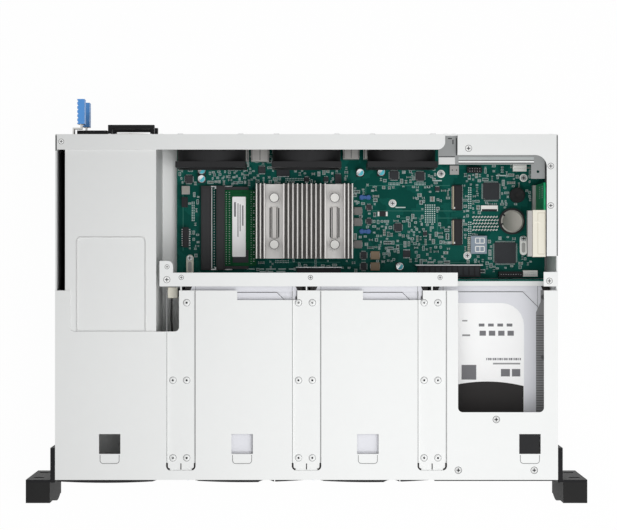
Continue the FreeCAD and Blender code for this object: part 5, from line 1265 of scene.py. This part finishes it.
def passives(printed):
    """Rows of chip resistors and capacitors, each row in a printed frame or between printed lines."""
    draw = random.Random(SEED)
    for u, v, columns, rows, pitch_u, pitch_v in FOOTPRINTS.values():
        reserve(u, v, columns * pitch_u / 2, rows * pitch_v / 2)
    piece = Piece("board_passives", "component_metal", place=on_board)
    for left, front, right, rear, count in STRETCHES.values():
        for _ in range(count):
            length, wide, tall = PASSIVES[draw.choices(tuple(PASSIVES), SIZE_WEIGHTS)[0]]
            turn = draw.choice((0.0, QUARTER))
            spot = [round(draw.uniform(*ends) / RASTER) * RASTER for ends in ((left, right), (front, rear))]
            parts = draw.choice(ROW_COUNTS)
            body = draw.choices(BODIES, BODY_WEIGHTS)[0]
            framed = draw.random() < FRAMED_SHARE
            pitch = wide + ROW_GAP
            half = (length / 2 + FRAME_GAP, parts * pitch / 2)
            if not clear(*spot, *(half if turn == 0.0 else half[::-1]), PART_GAP):
                continue
            for shift in spread(parts, pitch):
                piece.block(body, spot, (length * BODY_SHARE, wide, tall), turn=turn, shift=(0, shift, 0))
                cap = (length * CAP_SHARE, wide + CAP_OVER[0], tall + CAP_OVER[1])
                for side in BOTH:
                    piece.block(SOLDER_AND_SHADE, spot, cap, turn=turn, shift=(side * length * CAP_PLACE, shift, 0))
            for side in BOTH:
                printed.block(SILK, spot, (2 * half[0] + FRAME_OVER, FRAME_LINE, INK_T), turn=turn,
                              shift=(0, side * (half[1] + FRAME_OUT), 0))
                if framed:
                    printed.block(SILK, spot, (FRAME_LINE, 2 * half[1], INK_T), turn=turn,
                                  shift=(side * (half[0] + FRAME_OUT), 0, 0))
    piece.done()


def board_print():
    """Small parts with their frames, wide tracks, fields of bare pads and plain bars."""
    piece = Piece("board_silkscreen", "circuit_board", place=on_board)
    passives(piece)
    for u, v, wide in PRINTED_BARS:
        piece.block(SILK, (u, v), (wide, PRINTED_BAR_D, INK_T))
    for start, end in TRACKS.values():
        middle = ((start[0] + end[0]) / 2, (start[1] + end[1]) / 2)
        run_u = abs(start[0] - end[0])
        run_v = abs(start[1] - end[1])
        piece.block(TRACK, middle, (run_u + TRACK_W, run_v + TRACK_W, INK_T))
    for field in FOOTPRINTS.values():
        for spot in grid(*field):
            piece.block(SILK, spot, (field[4] * PAD_SHARES[0], field[5] * PAD_SHARES[1], PAD_T))
    piece.done()


# Middle, half width, legs on each side, pitch and length
LEGS = {
    "audio": (8.1, 36.7, 2.6, 8, 2.0, 1.4),
    "card_rear": (250.6, 72.0, 4.4, 20, 1.0, 0.9),
    "card_front": (250.6, 41.2, 4.4, 21, 1.0, 0.9),
}
LEG_SHARE = 0.45
LEG_T = 0.35
# Middle, columns, rows, pitch, foot and height
PINS = {
    "debug": (265.8, 96.7, 5, 2, 2.2, 7.9, 2.6),
    "front": (298.0, 3.6, 9, 1, 2.2, 8.3, 2.6),
    "white_rear": (306.1, 97.9, 6, 1, 1.7, 6.9, 0.7),
    "white_front": (315.5, 3.8, 6, 1, 1.7, 6.9, 0.7),
}
PIN_W = 0.64
CELLS = (243.0, 6.4, 11, 1, 5.0, 5.0)
CELL = (3.6, 7.6, 0.5)
CELL_LOW = 8.9
SOCKET_PARTS = {
    "audio_top": (SOCKET, (8.1, 36.7, 8.3), (3.6, 16.4, 0.4), 0.15),
    "white_rear_wall": (NYLON, (306.1, 100.1, 6.9), (11.0, 1.6, 0.9), 0.2),
    "white_front_wall": (NYLON, (315.5, 6.0, 6.9), (12.0, 1.6, 0.9), 0.2),
    "flat_cable_flap": (SOCKET, (279.4, 60.9, 2.3), (13.6, 2.0, 0.5), 0.15),
    "memory_rail": (TIN, (31.3, 45.1), (0.9, 72.0, 3.6), 0.2),
    "slot_rail": (TIN, (243.0, 11.9), (60.0, 0.9, 9.6), 0.1),
    "sink_rail": (TIN, (127.1, 9.9), (41.0, 0.8, 6.4), 0.1),
    "left_cap": (COIN, (8.1, 78.8, 4.95), (5.8, 6.0, 0.3), 0.1),
}
CARD_TOP = 4.1
# Middle and run of the two card sockets
CARDS = {"rear": (72.0, 22.4), "front": (41.2, 23.2)}
# Finish, middle, width, how much shorter than the socket, height and bevel
CARD_PARTS = {"contacts": (TAN_AND_SHADE, 246.9, 1.3, 2.0, 0.35, 0.1), "cover": (SOCKET, 251.2, 5.4, 0.8, 0.7, 0.25)}
CARD_PEG_U = 248.4
CARD_PEG_IN = 2.2
CARD_PEG = (0.9, 0.5)
MEMORY_V = 45.1
MEMORY_END = 37.0
MEMORY_LESS = 1.6
MEMORY_BAR = (73.0, 0.5)
# Middle, half width and height of the two memory sockets
MEMORY = {"left": (26.2, 4.4, 5.2), "right": (39.3, 3.8, 9.0)}
# Distance beyond the socket's side and back from its end, foot and size
LATCHES = {"arm": (2.4, 0.0, 0.0, (8.0, 1.2, 3.4)), "hook": (4.6, 0.9, 3.0, (2.6, 2.4, 0.6))}
# Holes in the rear one of the light grey sockets, dark discs of painted shade
HOLES = {"left": (246.0, 96.7, 4.95), "right": (249.8, 96.7, 4.95)}
HOLE = (0.6, 0.2)


def sockets():
    """Contacts, latches, pins and key walls of the board's sockets."""
    piece = Piece("socket_details", "component_metal", place=on_board)
    piece.blocks(SOCKET_PARTS)
    for u, v, half, count, pitch, length in LEGS.values():
        for shift in spread(count, pitch):
            for side in BOTH:
                piece.block(TIN, (u + side * (half + length / 2 - LEAD_UNDER), v + shift),
                            (length, pitch * LEG_SHARE, LEG_T), THIN)
    for u, v, columns, rows, pitch, foot, tall in PINS.values():
        for spot in grid(u, v, columns, rows, pitch, pitch):
            piece.block(TIN, (*spot, foot), (PIN_W, PIN_W, tall), TOP_BEVEL)
    for spot in grid(*CELLS):
        piece.block(EPOXY, (*spot, CELL_LOW), CELL, SOFT)
    for v, run in CARDS.values():
        for tint, u, wide, less, tall, bevel in CARD_PARTS.values():
            piece.block(tint, (u, v, CARD_TOP), (wide, run - less, tall), bevel)
        piece.disc(TIN, (CARD_PEG_U, v - run / 2 + CARD_PEG_IN, CARD_TOP), *CARD_PEG, sides=16)
    for u, half, tall in MEMORY.values():
        piece.block(SOCKET_GREY, (u, MEMORY_V, tall - MARK_T), (2 * half - MEMORY_LESS, *MEMORY_BAR), SOFT)
        for end in BOTH:
            for beyond, back, foot, size in LATCHES.values():
                place = (u + half + beyond, MEMORY_V + end * (MEMORY_END - back), foot)
                piece.block(TIN, place, size, TOP_BEVEL)
    for spot in HOLES.values():
        piece.disc(SOCKET, spot, *HOLE, sides=14)
    piece.done()


CLIP_Y = 222.4
CLIP_RUN = 28.2
SINK_BASE = 4.0
CLIP_BASE = (6.6, CLIP_RUN, 1.2)
# How far the ring of painted shade under each pin reaches beyond it, and how thick
PIN_SHADOW_RING = (0.5, 0.1)
PIN_SHADOW_DOWN = 0.4
# Finish, distance from the lane's middle, height above its floor, size and bevel
CLIP_PARTS = {
    "wall": (FIN_TOP, 2.9, 1.1, (0.8, CLIP_RUN - 1.0, 3.2), 0.2),
    "inner_shadow": (PAINTED_SHADE, 2.2, 1.1, (0.7, CLIP_RUN - 1.0, 0.2), 0.0),
    "outer_shadow": (PAINTED_SHADE, 3.9, 0.0, (0.9, CLIP_RUN - 2.0, 0.1), 0.0),
}


def sink_clips():
    """Spring strips between the push pins of each bare lane with lines of painted shade beside them, and a
    ring of painted shade under each pin.
    """
    piece = Piece("heatsink_clips", "heatsink_metal")
    base = span("heatsink")[0].z + SINK_BASE
    for lane in LANES:
        piece.plate(FIN_TOP, (lane, CLIP_Y, base), CLIP_BASE, 0.8, SOFT)
        for side in BOTH:
            for tint, shift, lift, size, bevel in CLIP_PARTS.values():
                piece.block(tint, (lane + side * shift, CLIP_Y, base + lift), size, bevel)
    for _, low, high in solids("heatsink_pins"):
        spot = ((low.x + high.x) / 2, (low.y + high.y) / 2, high.z - PIN_SHADOW_DOWN)
        piece.disc(PAINTED_SHADE, spot, (high.x - low.x) / 2 + PIN_SHADOW_RING[0], PIN_SHADOW_RING[1])
    piece.done()


# Across, along and whether a bar runs across
DIGIT_BARS = ((0, 1, 1), (0, 0, 1), (0, -1, 1), (1, 0.5, 0), (-1, 0.5, 0), (1, -0.5, 0), (-1, -0.5, 0))
DIGITS_U = 270.5
DIGITS_V = 30.0
DIGITS_LOW = 7.1
DIGIT_SHIFT = 3.7
DIGIT_LONG = 3.9
DIGIT_HALF = 2.3
STROKE = 0.75
STROKE_T = 0.12
DISPLAY_SPOT = (270.0, 30.0, 6.95)
DISPLAY_FACE = (13.0, 15.2, 0.2)
DISPLAY_PINS = (261.3, 30.0, 1, 8, 1.8, 1.8)
DISPLAY_PIN = (2.8, 0.8, 2.6)


def display():
    """Two seven-bar digits lying on their sides, and the pins along the display's left edge."""
    piece = Piece("display_digits", "black_plastic", place=on_board)
    piece.plate(PALE_BLUE, DISPLAY_SPOT, DISPLAY_FACE, 0.6, 0.08)
    for digit in BOTH:
        for across, along, crosswise in DIGIT_BARS:
            size = (STROKE, 2 * DIGIT_HALF, STROKE_T) if crosswise else (DIGIT_LONG, STROKE, STROKE_T)
            spot = (DIGITS_U + along * DIGIT_LONG, DIGITS_V + digit * DIGIT_SHIFT + across * DIGIT_HALF)
            piece.block(NYLON, (*spot, DIGITS_LOW), size, 0.04)
    for spot in grid(*DISPLAY_PINS):
        piece.block(CREAM, spot, DISPLAY_PIN, TOP_BEVEL)
    piece.done()


COIN_CELL = (299.5, 51.0, 5.0)
COIN_RIM = ((9.6, -0.02), (9.3, 0.16), (8.7, 0.16), (8.5, 0.06))
COIN_ARM = (3.2, 1.5, 0.35)
COIN_ARM_OUT = 9.8
COIN_ARM_TURNS = (2.5, 3.4)
BUZZER = (304.0, 74.2, 7.5)
BUZZER_TOP = ((6.5, -0.1), (6.2, 0.25), (2.2, 0.25), (1.5, 0.0), (1.2, 0.02))
SOUND_HOLE = (1.2, 0.02)


def coin_and_buzzer():
    """Rim of the coin cell, its spring arms, and the sound hole of the buzzer, painted dark as shade."""
    piece = Piece("coin_and_buzzer_details", "component_metal", place=on_board)
    piece.turned(COIN, COIN_CELL, COIN_RIM)
    u, v, coin_top = COIN_CELL
    arm_foot = max(span("battery")[1].z - board_high.z, coin_top)
    for turn in COIN_ARM_TURNS:
        piece.block(SOCKET, (u, v, arm_foot), COIN_ARM, FINE, turn=turn, shift=(COIN_ARM_OUT, 0, 0))
    piece.turned(BLACK, BUZZER, BUZZER_TOP)
    u, v, buzzer_top = BUZZER
    # The sound hole is a dark disc of painted shade
    piece.disc(LABEL_BLACK_AND_SHADE, (u, v, buzzer_top + SEATED), *SOUND_HOLE, sides=20)
    piece.done()


STICKER = (12.0, 53.6, LABEL_T)
STICKER_SHIFT = (-1.4, 1.0)
# Shift from the sticker's middle, width and run of each bar
STICKER_BARS = ((-3.6, 1.6, 13.0), (-0.9, 0.8, 30.0), (1.0, 0.8, 24.0), (3.4, 1.2, 18.0))
STICKER_BARS_REAR = 22.0
CONTACTS = 32
CONTACT_IN = 2.0
# Finish, distance from the module's left edge, size and bevel of each small part
LEFT_PARTS = ((SOLDER_AND_SHADE, 1.2, (0.9, 0.5, 0.05), 0.0), (SOLDER_AND_SHADE, 4.0, (1.1, 0.5, 0.4), 0.06))
RIGHT_PAD_IN = 4.6
RIGHT_PAD = (0.5, 0.5, 0.04)
RIGHT_PART_IN = 2.2
RIGHT_PART = (1.3, 0.7, 0.5)


def memory_sticker():
    """Plain sticker with bare bars on the memory module, and small parts along its edges."""
    piece = Piece("memory_sticker", "circuit_board")
    top = module_high.z
    base = module_low.z + MODULE_T
    middle_x = (module_low.x + module_high.x) / 2 + STICKER_SHIFT[0]
    middle_y = (module_low.y + module_high.y) / 2 + STICKER_SHIFT[1]
    piece.plate(LABEL, (middle_x, middle_y, top), STICKER, 0.8)
    for row, (shift, wide, run) in enumerate(STICKER_BARS):
        place = (middle_x + shift, middle_y + STICKER_BARS_REAR - run / 2 - row, top + LABEL_T)
        piece.block(LABEL_GREY, place, (wide, run, SEATED))
    pitch = (module_high.y - module_low.y - 2 * CONTACT_IN) / (CONTACTS - 1)
    for step in range(CONTACTS):
        y = module_low.y + CONTACT_IN + step * pitch
        for tint, inwards, size, bevel in LEFT_PARTS:
            piece.block(tint, (module_low.x + inwards, y, base), size, bevel)
        piece.block(SILK, (module_high.x - RIGHT_PAD_IN, y, base), RIGHT_PAD)
        if step % 3:
            piece.block(SOLDER_AND_SHADE, (module_high.x - RIGHT_PART_IN, y, base), RIGHT_PART, CHIP_BEVEL)
    piece.done()


SLOT_H = 8.0
SLOT_RUN = 40.3
SLOT_SIDE_SHADE_X = 2.2
SLOT_SIDE_SHADE = (4.2, 39.5, 7.0)
RISER_T = 1.6
RIM_T = 0.3
MOUTH_IN = 0.6
MOUTH_W = 6.1
MOUTH_RUN = 35.4
MOUTH_LINE = 0.3
MOUTH_LIFT = 0.28
KEY_BAR = (5.6, 1.2, 0.3)
KEY_LIFT = 0.2
RISER_BAR = (1.0, 6.0, MARK_T)
RISER_LEVELS = (12.0, 34.0)
RISER_BARS = [3.0 + 1.9 * step for step in range(6)]


def slot_details():
    """Rim and key bar of the riser's expansion slot, a grey block of painted shade on its left side, tan
    lines of painted shade round its mouth, and plain bars on the riser board.
    """
    piece = Piece("expansion_slot_details", "grey_plastic")
    middle = riser_low.y + SLOT_RUN / 2
    top = riser_high.z
    rim_right = SLOT_RIGHT + RISER_T
    # Grey block that stands for the shaded left side of the cream slot: painted shade
    piece.block(GREY, (riser_low.x - SLOT_SIDE_SHADE_X, middle, top - SLOT_H), SLOT_SIDE_SHADE, SOFT)
    rim = (rim_right - riser_low.x, SLOT_RUN, RIM_T)
    piece.block(CREAM, ((riser_low.x + rim_right) / 2, middle, top), rim, FINE)
    mouth = rim_right - MOUTH_IN - MOUTH_W / 2
    level = top + MOUTH_LIFT
    # Tan lines of painted shade round the slot's mouth
    for side in BOTH:
        piece.block(TAN_AND_SHADE, (mouth + side * MOUTH_W / 2, middle, level), (MOUTH_LINE, MOUTH_RUN, MARK_T))
        piece.block(TAN_AND_SHADE, (mouth, middle + side * MOUTH_RUN / 2, level), (MOUTH_W, MOUTH_LINE, MARK_T))
    piece.block(CREAM, ((riser_low.x + SLOT_RIGHT) / 2, middle + SLOT_RUN / 4, top + KEY_LIFT), KEY_BAR, FINE)
    for down in RISER_LEVELS:
        for inwards in RISER_BARS:
            place = (SLOT_RIGHT - MARK_T, riser_high.y - inwards, top - down)
            piece.block(SILK, place, RISER_BAR, facing="left")
    piece.done()


# Front and rear fittings

LIP = 1.0
LIP_W = 2.0
LENS_X = 3.8
LENS_LEVELS = {27.0: GLOW_GREEN, 33.0: GLOW_BLUE}
LENS = (1.1, 0.25, 0.1)
PANEL_LENSES = {58.0: GLOW_BLUE, 63.0: GLOW_GREEN, 68.0: GLOW_GREEN}
PANEL_LENS_Z = 19.0
PANEL_LENS = (3.0, 1.4, 0.25)


def lenses():
    """Light lenses on each tray's left strip, and on the control panel."""
    for bay in BAYS:
        low = span(f"{bay}_tray")[0]
        piece = Piece(f"{bay}_lenses", "black_plastic", f"{bay}_carrier")
        for level, tint in LENS_LEVELS.items():
            piece.disc(tint, (low.x + LENS_X, low.y, low.z + level), *LENS, sides=18, facing="front")
        piece.done()
    panel = Piece("panel_lenses", "black_plastic")
    low = span("control_panel")[0]
    for shift, tint in PANEL_LENSES.items():
        panel.plate(tint, (low.x + shift, low.y, low.z + PANEL_LENS_Z), PANEL_LENS, 0.6, FINE, facing="front")
    panel.done()


def panel_lip():
    """Thin frame round the face of the control panel, which stands just proud of the cover."""
    low, high = span("control_panel")
    wide = high.x - low.x
    tall = high.z - low.z
    outer = rectangle(wide, tall)
    inner = rectangle(wide - 2 * LIP_W, tall - 2 * LIP_W)
    levels = ((outer, 0.0), (outer, LIP), (inner, LIP), (inner, 0.0))
    rings = [[(u, v, out) for u, v in ring] for ring, out in levels]
    piece = Piece("control_panel_lip", "black_plastic")
    piece.loft(BLACK, face_middle("control_panel", "front"), rings, facing="front", caps=(False, False))
    piece.done()


JACK_DEEP = 12.6
JACK_WALL = 3.2
JACK_BACK = 2.4
JACK_SEAM_IN = 0.8
JACK_SEAM_W = 0.5
JACK_SEAM_FRONT = 1.0
JACK_SEAM_SHARE = 0.8
NETWORK_NARROWEST = 15.0
NETWORK_PINS = (8, 1.1)
NETWORK_PIN = (0.5, 8.0, 0.3)
NETWORK_PIN_OUT = 5.0
NETWORK_PIN_DOWN = 2.6
NETWORK_LIGHTS = {-5.2: GLOW_GREEN, 5.2: CERAMIC}
NETWORK_LIGHT_IN = 0.4
NETWORK_LIGHT_DOWN = 1.0
NETWORK_LIGHT = (2.4, 1.2, 0.5)
TONGUE = (9.6, 1.8, 7.0)
TONGUE_LEVELS = (0.3, 0.7)
FRONT_TONGUE = (10.0, 1.6, 7.0)
FRONT_PORT = (150.0, 9.6, 19.8)


def port_insides():
    """Moulded tongues and contacts inside the rear jacks and the front port."""
    piece = Piece("port_insides", "black_plastic")
    for _, low, high in solids("rear_ports"):
        middle = (low + high) / 2
        wide, deep, tall = high - low
        back = high.y - JACK_DEEP
        # Lines of painted shade in the seams on top of each jack shell
        for side in (-1, 0, 1):
            place = (middle.x + side * (wide / 2 - JACK_SEAM_IN), middle.y - JACK_SEAM_FRONT, high.z)
            piece.block(PAINTED_SHADE, place, (JACK_SEAM_W, deep * JACK_SEAM_SHARE, MARK_T))
        piece.block(SOCKET, (middle.x, back, middle.z), (wide - JACK_WALL, tall - JACK_WALL, JACK_BACK), SOFT,
                    facing="rear")
        if wide > NETWORK_NARROWEST:
            for shift in spread(*NETWORK_PINS):
                place = (middle.x + shift, back + NETWORK_PIN_OUT, high.z - NETWORK_PIN_DOWN)
                piece.block(GOLD, place, NETWORK_PIN, THIN)
            for shift, tint in NETWORK_LIGHTS.items():
                place = (middle.x + shift, high.y - NETWORK_LIGHT_IN, high.z - NETWORK_LIGHT_DOWN)
                piece.block(tint, place, NETWORK_LIGHT, FINE, facing="rear")
        else:
            for level in TONGUE_LEVELS:
                place = (middle.x, back + JACK_BACK, low.z + tall * level)
                piece.block(GLOW_BLUE, place, TONGUE, SOFT, facing="rear")
    x, y, up = FRONT_PORT
    piece.block(GLOW_BLUE, (x, y, span("control_panel")[0].z + up), FRONT_TONGUE, SOFT, facing="front")
    piece.done()


FAN_HUB = ((11.0, 0.0), (11.0, 0.15), (10.6, 0.25), (3.0, 0.25))
SUPPLY_HUB = ((7.0, 0.0), (7.0, 0.15), (6.6, 0.25), (2.4, 0.25))
POWER_RING = ((4.9, 0.0), (4.8, 0.12), (4.2, 0.12), (4.1, 0.0))
# Piece, node, body, finish, facing and profile
CAPS = [("power_key_ring", "power_key", "power_switch", GLOW_BLUE, "front", POWER_RING)]
CAPS += [(f"{fan}_hub_cap", f"{fan}_rotor", fan, FERRITE, "front", FAN_HUB) for fan in FANS]
CAPS += [(f"{supply}_hub_cap", f"{supply}_fan", f"{supply}_spinner", FERRITE, "rear", SUPPLY_HUB)
         for supply in SUPPLIES]


def caps_and_ring():
    """Light ring of the power key and hub caps of the fans."""
    for name, node, body, tint, facing, profile in CAPS:
        piece = Piece(name, "black_plastic", body)
        piece.turned(tint, face_middle(node, facing), profile, facing=facing)
        piece.done()


FAN_SCREW_SHIFT = 26.0
FAN_SCREW = (2.6, 0.9)
PANEL_SCREWS = [(x, z) for x in (-125.0, 120.0, 127.0, 211.0) for z in (14.0, 78.0)]
PANEL_SCREW = (2.3, 0.8)
WALL_SCREWS = [(y, z) for y in (40.0, 110.0, 160.0, 230.0, 290.0) for z in (12.0, 76.0)]
WALL_SCREW = (2.4, 0.5)
CASE_SCREW_IN = 3.2
CASE_SCREW_FAR = 38.0
CASE_SCREW = (1.6, 0.6)
CASE_LIGHT_X = 36.0
CASE_LIGHT_DOWN = 6.0
CASE_LIGHT = (1.3, 0.5, 0.2)


def rear_screws():
    """Screws on the rear panel, the side walls and the supplies, and a light on each supply."""
    piece = Piece("panel_screws")
    rear = span("rear_panel")[1].y
    for fan in FANS:
        x, _, z = face_middle(f"{fan}_rotor", "rear")
        for side in BOTH:
            for level in BOTH:
                place = (x + side * FAN_SCREW_SHIFT, rear, z + level * FAN_SCREW_SHIFT)
                piece.screw(place, *FAN_SCREW, facing="rear")
    for x, z in PANEL_SCREWS:
        piece.screw((x, rear, z), *PANEL_SCREW, facing="rear")
    for facing, corner in zip(("left", "right"), span("chassis_tray")):
        for y, z in WALL_SCREWS:
            piece.screw((corner.x, y, z), *WALL_SCREW, facing=facing)
    piece.done()
    for supply in SUPPLIES:
        low, high = span(f"{supply}_case")
        case = Piece(f"{supply}_screws", "bare_steel", f"{supply}_module")
        for z in (low.z + CASE_SCREW_IN, high.z - CASE_SCREW_IN):
            for x in (high.x - CASE_SCREW_IN, high.x - CASE_SCREW_FAR):
                case.screw((x, high.y, z), *CASE_SCREW, facing="rear")
        light = (low.x + CASE_LIGHT_X, high.y, high.z - CASE_LIGHT_DOWN)
        case.disc(GLOW_GREEN, light, *CASE_LIGHT, sides=18, facing="rear")
        case.done()


cover_rivets()
rail_screws()
cover_tabs()
pressed_edge_shading()
shelf_details()
wall_lining()
gap_lead()
for bay in BAYS:
    drive_label(bay)
board_screws()
chip_leads()
can_details()
odd_parts()
board_print()
sockets()
sink_clips()
display()
coin_and_buzzer()
memory_sticker()
slot_details()
lenses()
panel_lip()
port_insides()
caps_and_ring()
rear_screws()


# Studio: white floor, one lamp above, one at the right front, and a camera that looks straight down

WHITE = (1.0, 1.0, 1.0, 1.0)
CAMERA = (1.7, 184.6, 1956.0)
FOCAL = 126.9
SENSOR = 36.0
FAR = 20.0
WORLD_LIGHT = 0.20
# Place, size and power in metres and watts
LAMPS = {
    "lamp_above": ((0.13, -0.10, 0.72), 0.45, 3.65),
    "lamp_front_right": ((0.75, -0.85, 1.2), 1.2, 5.5),
}
FLOOR_SIZE = 6.0
FLOOR_DROP = 0.0005
FLOOR_SHADE = 0.02
FLOOR_GREY = (0.92, 0.92, 0.92, 1.0)


def seen_directly(tree, *more):
    """Whether a ray comes from the camera or a mirror, or is of another named kind."""
    rays = add(tree, "LightPath", {}).outputs
    seen = rays["Is Camera Ray"]
    for kind in ("Is Glossy Ray", *more):
        seen = calculate(tree, "MAXIMUM", seen, rays[kind])
    return seen


def floor():
    """White floor that shows as the background and keeps a faint shadow."""
    mesh = bpy.data.meshes.new("floor")
    mesh.from_pydata([(x, y, 0) for x, y in rectangle(FLOOR_SIZE, FLOOR_SIZE)], [], [(0, 1, 2, 3)])
    stage = bpy.data.objects.new("floor", mesh)
    bpy.context.scene.collection.objects.link(stage)
    stage.location.z = -FLOOR_DROP
    material = bpy.data.materials.new("floor_white")
    material.use_nodes = True
    tree = material.node_tree
    tree.nodes.remove(tree.nodes["Principled BSDF"])
    share = calculate(tree, "MULTIPLY", seen_directly(tree, "Is Transmission Ray"), 1 - FLOOR_SHADE)
    matt = add(tree, "BsdfDiffuse", {"Color": FLOOR_GREY})
    bright = add(tree, "Emission", {"Color": WHITE, "Strength": 1.0})
    mixed = add(tree, "MixShader", {0: share, 1: matt.outputs[0], 2: bright.outputs[0]})
    tree.links.new(mixed.outputs[0], tree.nodes["Material Output"].inputs["Surface"])
    mesh.materials.append(material)


def lamp(name, place, size, power):
    """Soft square lamp that faces the part; only the white world shows in glossy surfaces."""
    data = bpy.data.lights.new(name, "AREA")
    data.shape = "SQUARE"
    data.size = size
    data.energy = power
    made = bpy.data.objects.new(name, data)
    made.location = place
    made.rotation_euler = (-Vector(place)).to_track_quat("-Z", "Y").to_euler()
    made.visible_glossy = False
    bpy.context.scene.collection.objects.link(made)


def studio():
    """Even light from the world, the lamps and the camera."""
    world = bpy.data.worlds.new("studio")
    bpy.context.scene.world = world
    world.use_nodes = True
    tree = world.node_tree
    level = add(tree, "MapRange", {"Value": seen_directly(tree), "To Min": WORLD_LIGHT, "To Max": 1.0})
    tree.links.new(level.outputs[0], tree.nodes["Background"].inputs["Strength"])
    tree.nodes["Background"].inputs["Color"].default_value = WHITE
    for name, setting in LAMPS.items():
        lamp(name, *setting)
    camera = bpy.data.cameras.new("camera")
    camera.sensor_fit = "HORIZONTAL"
    camera.sensor_width = SENSOR
    camera.lens = FOCAL
    camera.clip_end = FAR
    view = bpy.data.objects.new("camera", camera)
    view.location = at(*CAMERA)
    bpy.context.scene.collection.objects.link(view)
    bpy.context.scene.camera = view
    bpy.context.scene.view_settings.view_transform = "Standard"


floor()
studio()
